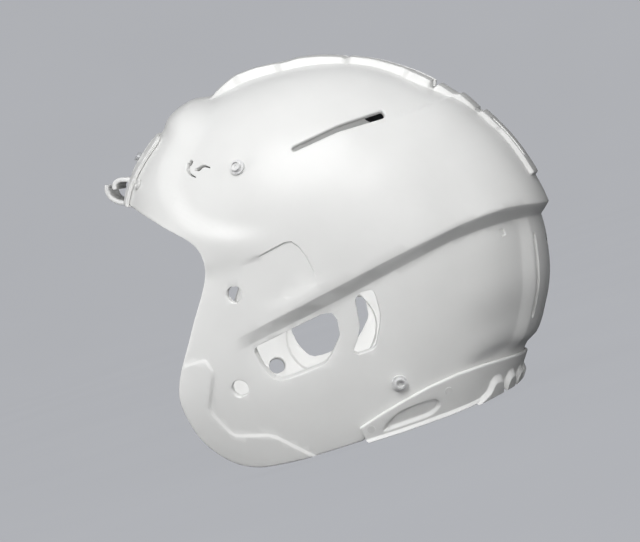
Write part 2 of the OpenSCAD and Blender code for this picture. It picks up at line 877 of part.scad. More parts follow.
shell();
front_bumper();
face_guard_clip();
clip_screws();
brow_screws();
rear_bumper();
rear_bumper_screws();
upper_snap_left();
upper_snap_right();
lower_snap_left();
lower_snap_right();
snap_screws();
snap_tee_nuts();
front_pad();
crown_pad();
back_pad();
nape_pad();
left_side_pad();
right_side_pad();
left_jaw_pad();
right_jaw_pad();
liner_fasteners();
jaw_pad_studs();
crown_valve();
nape_valve();
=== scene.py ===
"""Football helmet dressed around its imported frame.

Front is -Y, the wearer's left is +X and up is +Z. Shapes are worked out in millimetres over
a head form, then written to the meshes in metres. Half a piece is cut from a bent sphere,
mirrored, and given its wall.
"""

import itertools
import json
import logging
import math
from collections.abc import Callable, Sequence
from dataclasses import dataclass
from enum import Enum

import bmesh
import bpy
import numpy as np
from mathutils import Matrix, Vector

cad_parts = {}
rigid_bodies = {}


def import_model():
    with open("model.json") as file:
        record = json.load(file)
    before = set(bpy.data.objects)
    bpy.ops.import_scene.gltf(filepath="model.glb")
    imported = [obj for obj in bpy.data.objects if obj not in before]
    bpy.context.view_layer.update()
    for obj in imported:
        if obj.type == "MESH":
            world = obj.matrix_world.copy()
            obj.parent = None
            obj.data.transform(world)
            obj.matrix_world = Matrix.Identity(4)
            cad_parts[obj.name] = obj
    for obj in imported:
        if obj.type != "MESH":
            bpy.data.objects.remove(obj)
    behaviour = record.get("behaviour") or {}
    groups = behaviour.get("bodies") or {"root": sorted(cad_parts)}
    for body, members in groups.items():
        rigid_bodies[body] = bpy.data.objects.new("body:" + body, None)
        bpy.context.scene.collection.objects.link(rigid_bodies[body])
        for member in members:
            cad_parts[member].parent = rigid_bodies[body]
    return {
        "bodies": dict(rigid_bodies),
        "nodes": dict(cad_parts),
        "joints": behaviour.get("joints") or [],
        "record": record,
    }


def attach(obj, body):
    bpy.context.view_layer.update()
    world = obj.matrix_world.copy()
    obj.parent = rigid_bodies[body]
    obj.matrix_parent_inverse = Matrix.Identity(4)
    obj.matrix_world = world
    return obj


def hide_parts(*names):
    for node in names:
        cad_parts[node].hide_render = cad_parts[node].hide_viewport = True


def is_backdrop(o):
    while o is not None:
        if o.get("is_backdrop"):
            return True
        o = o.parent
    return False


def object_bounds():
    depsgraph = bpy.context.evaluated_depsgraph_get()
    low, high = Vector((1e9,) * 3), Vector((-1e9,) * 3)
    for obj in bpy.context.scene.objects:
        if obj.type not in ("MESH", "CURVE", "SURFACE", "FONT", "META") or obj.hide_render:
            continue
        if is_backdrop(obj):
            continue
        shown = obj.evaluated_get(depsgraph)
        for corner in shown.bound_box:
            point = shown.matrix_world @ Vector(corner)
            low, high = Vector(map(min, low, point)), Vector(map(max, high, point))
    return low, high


LOG = logging.getLogger("helmet")
METRE = 0.001
Array = np.ndarray
Pair = tuple[float, float]
Triple = tuple[float, float, float]
Mesh = bmesh.types.BMesh
Object = bpy.types.Object
Material = bpy.types.Material
# Distance in mm that stands for far away from a shape
FAR = 99.0
# Distance in mm along its axis over which a hole cuts, so that it misses the far wall
BORE_REACH = 30.0


def ease(share: Array) -> Array:
    """Return a smooth step from 0 to 1."""
    held = np.clip(share, 0.0, 1.0)
    return held * held * (3.0 - 2.0 * held)


def crisp(share: Array, soft: float) -> Array:
    """Clip a ramp to 0..1 with a small rounding at both ends.

    Args:
        share: Ramp that runs through 0 and 1.
        soft: Half length of each rounding, as a share of the ramp.

    Returns:
        The rounded ramp.
    """

    def foot(t: Array) -> Array:
        """Round the foot of the ramp."""
        bent = (t + soft) ** 2 / (4.0 * soft)
        return np.where(t <= -soft, 0.0, np.where(t >= soft, t, bent))

    lower = foot(share)
    return np.where(share < 0.5, lower, 1.0 - foot(1.0 - share))


def crease(soft: float) -> tuple[float, ...]:
    """Return the shares of a ramp at which a crisp edge needs its own mesh lines."""
    return (-soft, soft, 1.0 - soft, 1.0 + soft)


def fade(value: Array, span: Pair) -> Array:
    """Return a smooth step from 0 at a span's first value to 1 at its second."""
    return ease((value - span[0]) / (span[1] - span[0]))


def curve(value: Array, points: Sequence[Pair]) -> Array:
    """Return the height at each value of a line that runs straight from point to point."""
    return np.interp(value, *zip(*points))


def between(value: Array, span: Pair) -> Array:
    """Return where values lie inside a span."""
    return (value > span[0]) & (value < span[1])


def within(value: Array, mask: Array) -> Array:
    """Return values where a mask holds and no number elsewhere, so that no line is cut there."""
    return np.where(mask, value, np.nan)


def through(points: Sequence[Pair], steps: int = 5) -> tuple[Pair, ...]:
    """Run a smooth line through a few points.

    Args:
        points: Points chosen on the line.
        steps: How many points each stretch gets.

    Returns:
        Points close enough together to look smooth.
    """
    given = np.array(points, float)
    ends = np.vstack([2 * given[0] - given[1], given, 2 * given[-1] - given[-2]])
    line: list[Pair] = []
    for i in range(1, len(ends) - 2):
        before, start, stop, after = ends[i - 1 : i + 3]
        for t in np.arange(steps) / steps:
            bend = (
                2 * start
                + (stop - before) * t
                + (2 * before - 5 * start + 4 * stop - after) * t * t
                + (3 * start - before - 3 * stop + after) * t * t * t
            )
            line.append((float(bend[0]) / 2, float(bend[1]) / 2))
    line.append((float(given[-1][0]), float(given[-1][1])))
    return tuple(line)


@dataclass(frozen=True)
class Step:
    """Rise or drop of a face inside the edge of a form, in millimetres."""

    rise: float
    ramp: float
    soft: float = 0.14

    def height(self, inside: Array) -> Array:
        """Return the height of the face at depths inside the form's edge."""
        return self.rise * crisp(inside / self.ramp, self.soft)


@dataclass(frozen=True)
class Spot:
    """Some points of the head: ring and cross angles in degrees, and places in mm as rows."""

    ring: Array
    cross: Array
    place: Array

    @property
    def x(self) -> Array:
        """Return how far to the side the points lie."""
        return self.place[:, 0]

    @property
    def y(self) -> Array:
        """Return how far to the rear the points lie."""
        return self.place[:, 1]

    @property
    def z(self) -> Array:
        """Return how high the points lie."""
        return self.place[:, 2]


Level = Callable[[Spot], Array]


def nearest(spot: Spot, start: Pair, stop: Pair) -> tuple[Array, Array]:
    """Find the place on a straight stretch in Y and Z that is nearest to each spot.

    Args:
        spot: Spots on the form.
        start: Y and Z of one end.
        stop: Y and Z of the other end.

    Returns:
        The share of the stretch at which that place lies, and its distance.
    """
    ay, az = start
    sy, sz = stop[0] - ay, stop[1] - az
    share = np.clip(((spot.y - ay) * sy + (spot.z - az) * sz) / (sy * sy + sz * sz), 0, 1)
    return share, np.hypot(spot.y - ay - share * sy, spot.z - az - share * sz)


@dataclass(frozen=True)
class Outline:
    """Closed side outline in Y and Z, in millimetres, with rounded corners."""

    corners: tuple[Pair, ...]
    radius: float = 0.0
    arc_points: int = 5

    def points(self) -> Array:
        """Round the corners of the outline.

        Returns:
            One row of Y and Z for each point.
        """
        given = np.array(self.corners, float)
        if self.radius <= 0:
            return given
        ring: list[Array] = []
        for before, corner, after in zip(np.roll(given, 1, axis=0), given, np.roll(given, -1, axis=0)):
            back, on = before - corner, after - corner
            start = corner + back * min(self.radius / np.linalg.norm(back), 0.5)
            stop = corner + on * min(self.radius / np.linalg.norm(on), 0.5)
            for t in np.linspace(0.0, 1.0, self.arc_points):
                ring.append(start * (1 - t) ** 2 + corner * 2 * t * (1 - t) + stop * t * t)
        return np.array(ring)

    def depth(self, spot: Spot) -> Array:
        """Measure how far spots lie inside the outline.

        Args:
            spot: Spots on the form.

        Returns:
            The depth of each spot, negative outside.
        """
        ring = self.points()
        best = np.full(spot.y.shape, np.inf)
        inside = np.zeros(spot.y.shape, bool)
        for (ay, az), (by, bz) in zip(ring, np.roll(ring, -1, axis=0)):
            if math.hypot(by - ay, bz - az) < 1e-6:
                continue
            best = np.minimum(best, nearest(spot, (ay, az), (by, bz))[1])
            if bz != az:
                beside = spot.y < ay + (spot.z - az) * (by - ay) / (bz - az)
                inside ^= ((az > spot.z) != (bz > spot.z)) & beside
        return np.where(inside, best, -best)


@dataclass(frozen=True)
class Slit:
    """Narrow opening along a line in Y and Z, with a half width at each point, in mm."""

    line: tuple[Triple, ...]

    def depth(self, spot: Spot) -> Array:
        """Measure how far spots lie inside the slit.

        Args:
            spot: Spots on the form.

        Returns:
            The depth of each spot, negative outside.
        """
        best = np.full(spot.y.shape, -np.inf)
        for (ay, az, a_half), (by, bz, b_half) in zip(self.line, self.line[1:]):
            share, gap = nearest(spot, (ay, az), (by, bz))
            best = np.maximum(best, a_half + (b_half - a_half) * share - gap)
        return best


@dataclass(frozen=True)
class Cut:
    """Opening with the rounding of its edge and the longest mesh edge beside it, in mm."""

    shape: Outline | Slit
    rounding: float
    fine: float

    def outside(self, spot: Spot) -> Array:
        """Return how far spots lie outside the opening."""
        return -self.shape.depth(spot)


def rounded_box(u: Array, v: Array, half: Pair, radius: float) -> Array:
    """Return how far points lie inside a rectangle with round corners.

    Args:
        u: Distance of each point from the middle one way.
        v: The same the other way.
        half: Half length and half width.
        radius: Radius of the corners.

    Returns:
        The depth inside, negative outside.
    """
    past_u = np.abs(u) - half[0] + radius
    past_v = np.abs(v) - half[1] + radius
    corner = np.hypot(np.maximum(past_u, 0), np.maximum(past_v, 0))
    return radius - corner - np.minimum(np.maximum(past_u, past_v), 0)


@dataclass(frozen=True)
class HeadForm:
    """Smooth head form that every curved piece is measured from, in millimetres."""

    ear_z: float = 150.0
    half_w: float = 115.0
    square: float = 2.4
    square_swing: float = 0.2
    flare_depth: float = 7.5
    flare_y: Pair = (-78.0, 2.0)
    tuck_depth: float = 4.6
    tuck_z: Pair = (33.0, 20.0)
    tuck_y: Pair = (62.0, 98.0)
    rings: tuple[float, ...] = (
        0, 12, 25, 40, 60, 90, 106, 120, 135, 150, 160, 180,
        205, 220, 245, 270, 287, 300, 312, 327, 340, 351,
    )  # fmt: skip
    radii: tuple[float, ...] = (
        146.5, 139.5, 132, 123, 121, 121, 125.5, 131, 137, 144, 146, 159,
        191, 211, 226, 221, 198, 182, 171, 166, 160, 153,
    )  # fmt: skip

    def middle(self, ring: Array) -> Array:
        """Return the radius of the middle line, which runs smoothly through its knots.

        Args:
            ring: Ring angles in degrees.

        Returns:
            The radius at each angle.
        """
        turn = np.mod(ring, 360.0)
        knots = np.array(self.rings, float)
        radii = np.array(self.radii, float)
        span = np.mod(np.roll(knots, -1) - np.roll(knots, 1), 360.0)
        slopes = (np.roll(radii, -1) - np.roll(radii, 1)) / span
        i = np.searchsorted(knots, turn, side="right") - 1
        j = (i + 1) % len(knots)
        wide = np.mod(knots[j] - knots[i], 360.0)
        t = (turn - knots[i]) / wide
        return (
            radii[i] * (2 * t**3 - 3 * t**2 + 1)
            + radii[j] * (3 * t**2 - 2 * t**3)
            + slopes[i] * wide * (t**3 - 2 * t**2 + t)
            + slopes[j] * wide * (t**3 - t**2)
        )

    def power(self, ring: Array) -> Array:
        """Return the squareness of the section across the head."""
        return self.square - self.square_swing * np.sin(np.radians(ring))

    def flare(self, y: Array | float) -> Array:
        """Return how far the lower shell lies inside the upper one along the helmet."""
        return self.flare_depth * fade(y, self.flare_y)

    def tuck(self, spot: Spot) -> Array:
        """Return how far the foot of the nape turns in."""
        return self.tuck_depth * fade(spot.z, self.tuck_z) * fade(spot.y, self.tuck_y)

    def skin(self, ring: Array, cross: Array, height: Array | float = 0.0) -> Array:
        """Return points over the head form.

        Args:
            ring: Angle about the ear axis, 0 at the back and 90 at the crown.
            cross: Angle across the head, 0 in the middle and 90 over the ear.
            height: Height over the form.

        Returns:
            One row of x, y and z for each point.
        """
        grow = 2.0 / self.power(ring)
        turn = np.radians(ring)
        lean = np.radians(cross)
        x = (self.half_w + height) * np.clip(np.sin(lean), 0, 1) ** grow
        r = (self.middle(ring) + height) * np.clip(np.cos(lean), 0, 1) ** grow
        return np.stack([x, r * np.cos(turn), self.ear_z + r * np.sin(turn)], axis=-1)

    def at(self, ring: Array, cross: Array, height: Array | float = 0.0) -> Spot:
        """Return the spots at given angles, at a height over the form."""
        return Spot(ring, cross, self.skin(ring, cross, height))

    def raised(self, spot: Spot, height: Array | float) -> Spot:
        """Return the same spots at a height over the form."""
        return self.at(spot.ring, spot.cross, height)

    def spot(self, points: Array) -> Spot:
        """Find where points near the bare form lie on it.

        Args:
            points: One row of x, y and z for each point.

        Returns:
            Their spots on the bare form.
        """
        ring = np.degrees(np.arctan2(points[:, 2] - self.ear_z, points[:, 1]))
        power = self.power(ring)
        out = np.hypot(points[:, 1], points[:, 2] - self.ear_z) / self.middle(ring)
        side = np.clip(points[:, 0], 0, None) / self.half_w
        return self.at(ring, np.degrees(np.arctan2(side ** (power / 2), out ** (power / 2))))

    def side(self, y: float, z: float, drop: float) -> Vector:
        """Return a point of the left side.

        Args:
            y: Place along the helmet.
            z: Height over the ground.
            drop: How far the surface there lies inside the form.

        Returns:
            The point in millimetres.
        """
        ring = np.array([math.degrees(math.atan2(z - self.ear_z, y))])
        power = float(self.power(ring)[0])
        far = math.hypot(y, z - self.ear_z) / (float(self.middle(ring)[0]) - drop)
        return Vector(((self.half_w - drop) * (1 - far**power) ** (1 / power), y, z))

    def beside(self, y: float, z: float, drop: float) -> tuple[Vector, Vector]:
        """Return a place on the left side and the way out of it.

        Args:
            y: Place along the helmet.
            z: Height over the ground.
            drop: How far the surface there lies inside the form.

        Returns:
            The point in millimetres and the outward direction.
        """
        along = self.side(y + 1, z, drop) - self.side(y - 1, z, drop)
        up = self.side(y, z + 1, drop) - self.side(y, z - 1, drop)
        return self.side(y, z, drop), along.cross(up).normalized()

    def crown(self, ring: float, height: float) -> tuple[Vector, Vector]:
        """Return a place over the middle line and the way out of it.

        Args:
            ring: Ring angle in degrees.
            height: Height over the form.

        Returns:
            The point in millimetres and the outward direction.
        """
        back, here, on = self.skin(ring + np.array([-1.0, 0.0, 1.0]), np.zeros(3), height)
        along = Vector(on - back)
        return Vector(here), Vector((0.0, along.z, -along.y)).normalized()


FORM = HeadForm()


def parts(mesh: Mesh) -> list:
    """Return all vertices, edges and faces of a mesh."""
    return [*mesh.verts, *mesh.edges, *mesh.faces]


class Patch:
    """Half of a thin piece of the head, as a mesh that lies on the bare form.

    Attributes:
        NEAR: Share of an edge within which its end moves onto a new line, so that no sliver is left.
        PASSES: How often long edges are divided, and how often a line's place is worked out again.
        REACH: Distance from a cut over which the mesh gets finer, in longest edges.
        LEAST_REACH: The same at least, in mm.
        HALFWAY: Share of an edge's rounding at which it gets one more mesh line.
        MERGE: Distance, in mm, below which the points of two mirrored halves are joined.
    """

    NEAR = 0.16
    PASSES = 4
    REACH = 2.2
    LEAST_REACH = 5.0
    HALFWAY = 0.3
    MERGE = 1e-4

    def __init__(self, lift: Level, cells: int) -> None:
        """Bend half a divided cube onto the form.

        Args:
            lift: Height over the form at which side outlines are cut.
            cells: Faces along each edge of the cube, an even number.
        """
        self.lift = lift
        self.trims: list[tuple[Level, float]] = []
        self.mesh = bmesh.new()
        self.locked = self.mesh.verts.layers.int.new("locked")
        bmesh.ops.create_cube(self.mesh, size=2.0)
        bmesh.ops.subdivide_edges(self.mesh, edges=self.mesh.edges[:], cuts=cells - 1, use_grid_fill=True)
        whole = parts(self.mesh)
        bmesh.ops.bisect_plane(
            self.mesh, geom=whole, dist=1e-5, plane_co=(0, 0, 0), plane_no=(1, 0, 0), clear_inner=True
        )
        cube = np.tan(np.array([v.co for v in self.mesh.verts]) * math.pi / 4)
        ring = np.degrees(np.arctan2(cube[:, 2], cube[:, 1]))
        side = np.where(cube[:, 0] < 1e-6, 0.0, cube[:, 0])
        cross = np.degrees(np.arctan2(side, np.hypot(cube[:, 1], cube[:, 2])))
        self._place(FORM.skin(ring, cross))

    def _place(self, points: Array) -> None:
        """Move every vertex to its point."""
        for vert, point in zip(self.mesh.verts, points):
            vert.co = point

    def _points(self) -> Array:
        """Return the vertices' points."""
        return np.array([v.co for v in self.mesh.verts], float).reshape(-1, 3)

    def _level(self, points: Array, level: Level, cut: bool) -> Array:
        """Return a level's values at points, at their raised place where cut is true."""
        spot = FORM.spot(points)
        return level(FORM.raised(spot, self.lift(spot)) if cut else spot)

    def crop(self, level: Level, margin: float) -> None:
        """Drop the faces that lie further outside a level than a margin.

        Args:
            level: Depth inside what is kept, at the raised place.
            margin: Distance outside it that is kept too.
        """
        middles = np.array([f.calc_center_median() for f in self.mesh.faces])
        values = self._level(middles, level, True)
        lost = [f for f, value in zip(self.mesh.faces, values) if value < -margin]
        bmesh.ops.delete(self.mesh, geom=lost, context="FACES")

    def refine(self, level: Level, reach: float, longest: float, cut: bool = True) -> None:
        """Divide the edges near a level's zero line until none is too long.

        Args:
            level: Signed distance to the line.
            reach: Distance over which the mesh gets finer.
            longest: Longest edge that is left there.
            cut: Whether the line is measured at the raised place.
        """
        for _ in range(self.PASSES):
            self.mesh.verts.index_update()
            near = np.abs(self._level(self._points(), level, cut)) < reach
            long = [
                e
                for e in self.mesh.edges
                if near[e.verts[0].index] and near[e.verts[1].index] and e.calc_length() > longest
            ]
            if not long:
                return
            bmesh.ops.subdivide_edges(self.mesh, edges=long, cuts=1, use_grid_fill=True)
            self._place(FORM.spot(self._points()).place)

    def score(self, level: Level, values: Sequence[float] = (0.0,), cut: bool = False) -> None:
        """Give the mesh edges along the lines where a level has given values."""
        for value in values:
            self._score_line(lambda spot, at=value: level(spot) - at, cut)

    def _score_line(self, level: Level, cut: bool) -> None:
        """Split the faces along a level's zero line.

        Args:
            level: Level whose zero line gets edges.
            cut: Whether the line is measured at the raised place.
        """
        self.mesh.verts.index_update()
        points = self._points()
        heights = self._level(points, level, cut)
        edges = list(self.mesh.edges)
        ends = np.array([(e.verts[0].index, e.verts[1].index) for e in edges])
        found = np.nonzero(heights[ends[:, 0]] * heights[ends[:, 1]] < 0)[0]
        if not len(found):
            return
        start, stop = points[ends[found, 0]], points[ends[found, 1]]
        low, high = np.zeros(len(found)), np.ones(len(found))
        at_low, at_high = heights[ends[found, 0]].copy(), heights[ends[found, 1]].copy()
        for _ in range(self.PASSES):
            share = low + (high - low) * at_low / (at_low - at_high)
            value = self._level(start + (stop - start) * share[:, None], level, cut)
            same = value * at_low > 0
            low, at_low = np.where(same, share, low), np.where(same, value, at_low)
            high, at_high = np.where(same, high, share), np.where(same, at_high, value)
        share = low + (high - low) * at_low / np.where(at_low == at_high, 1.0, at_low - at_high)
        targets = FORM.spot(start + (stop - start) * share[:, None]).place
        on_line: list[bmesh.types.BMVert] = []
        moved: dict[int, tuple[float, int, bmesh.types.BMVert]] = {}
        for k, edge_at in enumerate(found):
            for end, part in ((0, share[k]), (1, 1 - share[k])):
                vert = edges[edge_at].verts[end]
                if part < self.NEAR and not vert[self.locked]:
                    best = moved.get(vert.index)
                    if best is None or part < best[0]:
                        moved[vert.index] = (part, k, vert)
        for _, k, vert in moved.values():
            vert.co = targets[k]
            vert[self.locked] = 1
            on_line.append(vert)
        for k, edge_at in enumerate(found):
            edge = edges[edge_at]
            if ends[edge_at, 0] in moved or ends[edge_at, 1] in moved:
                continue
            part = float(np.clip(share[k], 0.001, 0.999))
            _, vert = bmesh.utils.edge_split(edge, edge.verts[0], part)
            vert.co = targets[k]
            vert[self.locked] = 1
            on_line.append(vert)
        bmesh.ops.connect_verts(self.mesh, verts=on_line)

    def detail(self, level: Level, step: Step, reach: float, longest: float) -> None:
        """Give the mesh finer faces and the two edge lines of a step, on the bare form.

        Args:
            level: Depth inside the step's edge.
            step: The step.
            reach: Distance over which the mesh gets finer.
            longest: Longest edge that is left there.
        """
        self.refine(level, reach, longest, cut=False)
        self.score(lambda spot: level(spot) / step.ramp, (0.0, 1.0))

    def trim(self, level: Level, rounding: float, fine: float) -> None:
        """Cut the piece along a level's zero line and keep the positive side.

        Args:
            level: Depth inside what is kept, at the raised place.
            rounding: Radius that the cut edge gets, which needs mesh lines of its own.
            fine: Longest edge near the cut.
        """
        self.refine(level, max(self.REACH * fine + rounding, self.LEAST_REACH), fine)
        self.score(level, (0.0, self.HALFWAY * rounding, rounding), cut=True)
        self.crop(level, 0.0)
        self.trims.append((level, rounding))

    def edge_drop(self, spot: Spot, share: float) -> Array:
        """Return how far the faces turn in at the rounded cut edges.

        Args:
            spot: Spots on the form.
            share: Radius of the edges as a share of the radius that they were cut for.

        Returns:
            The drop of each spot in millimetres.
        """
        raised = FORM.raised(spot, self.lift(spot))
        drop = np.zeros(spot.x.shape)
        for level, rounding in self.trims:
            radius = rounding * share
            short = np.clip(radius - np.clip(level(raised), 0, None), 0, radius)
            drop = np.maximum(drop, radius - np.sqrt(radius**2 - short**2))
        return drop

    def solid(self, outer: Level, inner: Level, share: float = 1.0, both_sides: bool = True) -> Mesh:
        """Give the patch its wall and take it to metres.

        Args:
            outer: Height of the outer face over the form.
            inner: Height of the inner face over the form.
            share: Radius of the edges as a share of the radius that they were cut for.
            both_sides: Whether the right half is made too.

        Returns:
            The finished closed mesh.
        """
        mesh = self.mesh
        mesh.verts.index_update()
        spot = FORM.spot(self._points())
        drop = self.edge_drop(spot, share)
        top = FORM.skin(spot.ring, spot.cross, outer(spot) - drop)
        bottom = FORM.skin(spot.ring, spot.cross, inner(spot) + drop)
        place = mesh.verts.layers.int.new("place")
        for i, vert in enumerate(mesh.verts):
            vert[place] = i
        if both_sides:
            bmesh.ops.mirror(
                mesh, geom=parts(mesh), matrix=Matrix.Identity(4), merge_dist=self.MERGE, axis="X"
            )
        sides = {v: -1.0 if v.co.x < -1e-5 else 1.0 for v in mesh.verts}
        grown = bmesh.ops.extrude_face_region(mesh, geom=parts(mesh), use_keep_orig=True)
        below = {v for v in grown["geom"] if isinstance(v, bmesh.types.BMVert)}
        for vert in mesh.verts:
            side = sides.get(vert, -1.0 if vert.co.x < -1e-5 else 1.0)
            x, y, z = (bottom if vert in below else top)[vert[place]]
            vert.co = (side * x * METRE, y * METRE, z * METRE)
        bmesh.ops.dissolve_degenerate(mesh, dist=1e-7, edges=mesh.edges)
        bmesh.ops.triangulate(mesh, faces=[f for f in mesh.faces if len(f.verts) > 4])
        bmesh.ops.recalc_face_normals(mesh, faces=mesh.faces)
        # The operator alone leaves the bent nape pad inside out
        if mesh.calc_volume(signed=True) < 0.0:
            bmesh.ops.reverse_faces(mesh, faces=mesh.faces)
        return mesh


def mirrored(mesh: Mesh) -> Mesh:
    """Copy a closed mesh to the other side of the helmet.

    Args:
        mesh: The mesh, which stays as it is.

    Returns:
        The copy, with its faces pointing outwards.
    """
    other = mesh.copy()
    bmesh.ops.scale(other, vec=(-1, 1, 1), verts=other.verts)
    bmesh.ops.reverse_faces(other, faces=other.faces)
    return other


def lathe(profile: Sequence[Pair], steps: int) -> Mesh:
    """Turn a line about the Z axis.

    Args:
        profile: Radius and height of each point in millimetres.
        steps: How many faces go round.

    Returns:
        The turned mesh in metres.
    """
    mesh = bmesh.new()
    verts = [mesh.verts.new((radius * METRE, 0.0, height * METRE)) for radius, height in profile]
    edges = [mesh.edges.new(pair) for pair in zip(verts, verts[1:])]
    line = [*verts, *edges]
    bmesh.ops.spin(
        mesh, geom=line, cent=(0, 0, 0), axis=(0, 0, 1), angle=math.tau, steps=steps, use_merge=True
    )
    bmesh.ops.remove_doubles(mesh, verts=mesh.verts, dist=0.01 * METRE)
    bmesh.ops.recalc_face_normals(mesh, faces=mesh.faces)
    return mesh


def facing(point: Vector, axis: Vector) -> Matrix:
    """Return the matrix that sets +Z along an axis at a point in millimetres."""
    return Matrix.Translation(point * METRE) @ axis.to_track_quat("Z", "Y").to_matrix().to_4x4()


def link(name: str, data: bpy.types.ID) -> Object:
    """Add an object to the scene.

    Args:
        name: Name of the object.
        data: Its mesh, lamp or camera.

    Returns:
        The object, at the origin.
    """
    made = bpy.data.objects.new(name, data)
    bpy.context.scene.collection.objects.link(made)
    return made


def make_object(name: str, mesh: Mesh, material: Material, sharp: float = 38.0) -> Object:
    """Turn a finished mesh into an object with smooth faces and sharp edges.

    Args:
        name: Name of the piece.
        mesh: Mesh in metres, which is freed.
        material: Finish of the piece.
        sharp: Angle between faces, in degrees, past which an edge is sharp.

    Returns:
        The object, at the origin.
    """
    limit = math.radians(sharp)
    for edge in mesh.edges:
        edge.smooth = edge.calc_face_angle(0.0) < limit
    data = bpy.data.meshes.new(name)
    mesh.to_mesh(data)
    mesh.free()
    data.polygons.foreach_set("use_smooth", [True] * len(data.polygons))
    data.materials.append(material)
    return link(name, data)


def settle(piece: Object, slot: str, *nodes: str) -> Object:
    """Put a piece on the body and let it stand for its CAD nodes.

    Args:
        piece: The finished piece.
        slot: Material slot of the record; not used.
        nodes: CAD nodes that it replaces.

    Returns:
        The piece.
    """
    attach(piece, "root")
    if nodes:
        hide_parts(*nodes)
    LOG.info("%s: %d faces", piece.name, len(piece.data.polygons))
    return piece


def linear(code: str) -> tuple[float, float, float, float]:
    """Turn an sRGB hex colour into linear values.

    Args:
        code: The colour, such as #ffffff.

    Returns:
        Red, green, blue and a full alpha.
    """
    shares = [int(code[i : i + 2], 16) / 255 for i in (1, 3, 5)]
    red, green, blue = (s / 12.92 if s <= 0.04045 else ((s + 0.055) / 1.055) ** 2.4 for s in shares)
    return red, green, blue, 1.0


def add_node(
    tree: bpy.types.NodeTree, kind: str, inputs: dict | None = None, **settings: object
) -> bpy.types.Node:
    """Add a node to a material.

    Args:
        tree: Node tree of the material.
        kind: Blender's name of the node type.
        inputs: Values or sockets to feed in, by input name or number.
        settings: Properties of the node itself.

    Returns:
        The new node.
    """
    node = tree.nodes.new(kind)
    for name, value in settings.items():
        setattr(node, name, value)
    for name, value in (inputs or {}).items():
        if isinstance(value, bpy.types.NodeSocket):
            tree.links.new(value, node.inputs[name])
        else:
            node.inputs[name].default_value = value
    return node


def start_material(name: str) -> tuple[Material, bpy.types.NodeSocket]:
    """Make a material whose patterns lie on Object coordinates.

    Args:
        name: Name of the material.

    Returns:
        The material, and the socket that gives those coordinates.
    """
    material = bpy.data.materials.new(name)
    material.use_nodes = True
    material.node_tree.nodes.clear()
    return material, add_node(material.node_tree, "ShaderNodeTexCoord").outputs["Object"]


def blend(
    tree: bpy.types.NodeTree, share: bpy.types.NodeSocket, tones: tuple[str, str], span: Pair
) -> bpy.types.Node:
    """Add a ramp from one tone to another.

    Args:
        tree: Node tree of the material.
        share: Socket that picks the place on the ramp.
        tones: The two colours as sRGB hex codes.
        span: Places on the ramp at which they stand.

    Returns:
        The ramp's node.
    """
    ramp = add_node(tree, "ShaderNodeValToRGB", {"Fac": share})
    for stop, tone, place in zip(ramp.color_ramp.elements, tones, span):
        stop.position = place
        stop.color = linear(tone)
    return ramp


class Pattern(Enum):
    """Kind of fine surface pattern, by node type."""

    PEEL = "ShaderNodeTexNoise"
    GRAIN = "ShaderNodeTexVoronoi"


@dataclass(frozen=True)
class Finish:
    """Surface of one material: two close tones in soft clouds and a fine relief.

    Colours are sRGB hex codes and sizes are real millimetres.
    """

    name: str
    tone: str
    shade: str
    roughness: float
    wear: float
    cloud_mm: float
    relief_mm: float
    depth_mm: float
    pattern: Pattern = Pattern.PEEL
    metallic: float = 0.0
    sheen: float = 0.0
    ior: float = 1.5
    tone_span: Pair = (0.35, 0.65)
    wear_span: Pair = (0.3, 0.7)

    def build(self) -> Material:
        """Make the node material of this finish.

        Returns:
            The material, whose patterns lie on Object coordinates.
        """
        material, place = start_material(self.name)
        material.diffuse_color = linear(self.tone)
        tree = material.node_tree
        cloud = {"Vector": place, "Scale": 1 / (self.cloud_mm * METRE), "Detail": 4.0}
        clouds = add_node(tree, "ShaderNodeTexNoise", cloud).outputs["Fac"]
        tone = blend(tree, clouds, (self.shade, self.tone), self.tone_span)
        worn = {
            "Value": clouds,
            "From Min": self.wear_span[0],
            "From Max": self.wear_span[1],
            "To Min": self.roughness - self.wear,
            "To Max": self.roughness + self.wear,
        }
        rough = add_node(tree, "ShaderNodeMapRange", worn)
        relief = add_node(tree, self.pattern.value, {"Vector": place, "Scale": 1 / (self.relief_mm * METRE)})
        height = relief.outputs["Fac" if self.pattern is Pattern.PEEL else "Distance"]
        bumps = {"Height": height, "Strength": 1.0, "Distance": self.depth_mm * METRE}
        surface = {
            "Base Color": tone.outputs["Color"],
            "Roughness": rough.outputs["Result"],
            "Normal": add_node(tree, "ShaderNodeBump", bumps).outputs["Normal"],
            "Metallic": self.metallic,
            "IOR": self.ior,
            "Sheen Weight": self.sheen,
        }
        shader = add_node(tree, "ShaderNodeBsdfPrincipled", surface)
        add_node(tree, "ShaderNodeOutputMaterial", {"Surface": shader.outputs["BSDF"]})
        return material


# Painted polycarbonate, white satin gloss with a faint orange peel
SHELL_GLOSS = Finish("shell_gloss", "#f3f3f1", "#eeeeec", 0.34, 0.03, 60, 1.6, 0.006)
# Thermoplastic rubber edge trim, white, a little softer and less glossy than the shell
TRIM_WHITE = Finish("trim_white", "#f1f1ef", "#e9e9e7", 0.42, 0.04, 35, 0.8, 0.01)
# Moulded nylon, white, with a fine spark-eroded texture
CLIP_WHITE = Finish("clip_white", "#efefee", "#e6e6e5", 0.46, 0.04, 25, 0.5, 0.012)
# Painted steel screw heads, white
SCREW_WHITE = Finish("screw_white", "#eeeeec", "#e2e2e0", 0.38, 0.05, 8, 0.6, 0.006)
# Stainless steel, tumbled, with faint handling marks
SCREW_STEEL = Finish("screw_steel", "#dcdddf", "#c9cbcd", 0.42, 0.08, 5, 0.35, 0.006, metallic=0.6)
# Nickel-plated brass with a white lacquer, as on the snaps of white helmets
SNAP_METAL = Finish("snap_metal", "#f0f0ef", "#e6e6e6", 0.32, 0.06, 6, 0.5, 0.005, metallic=0.1)
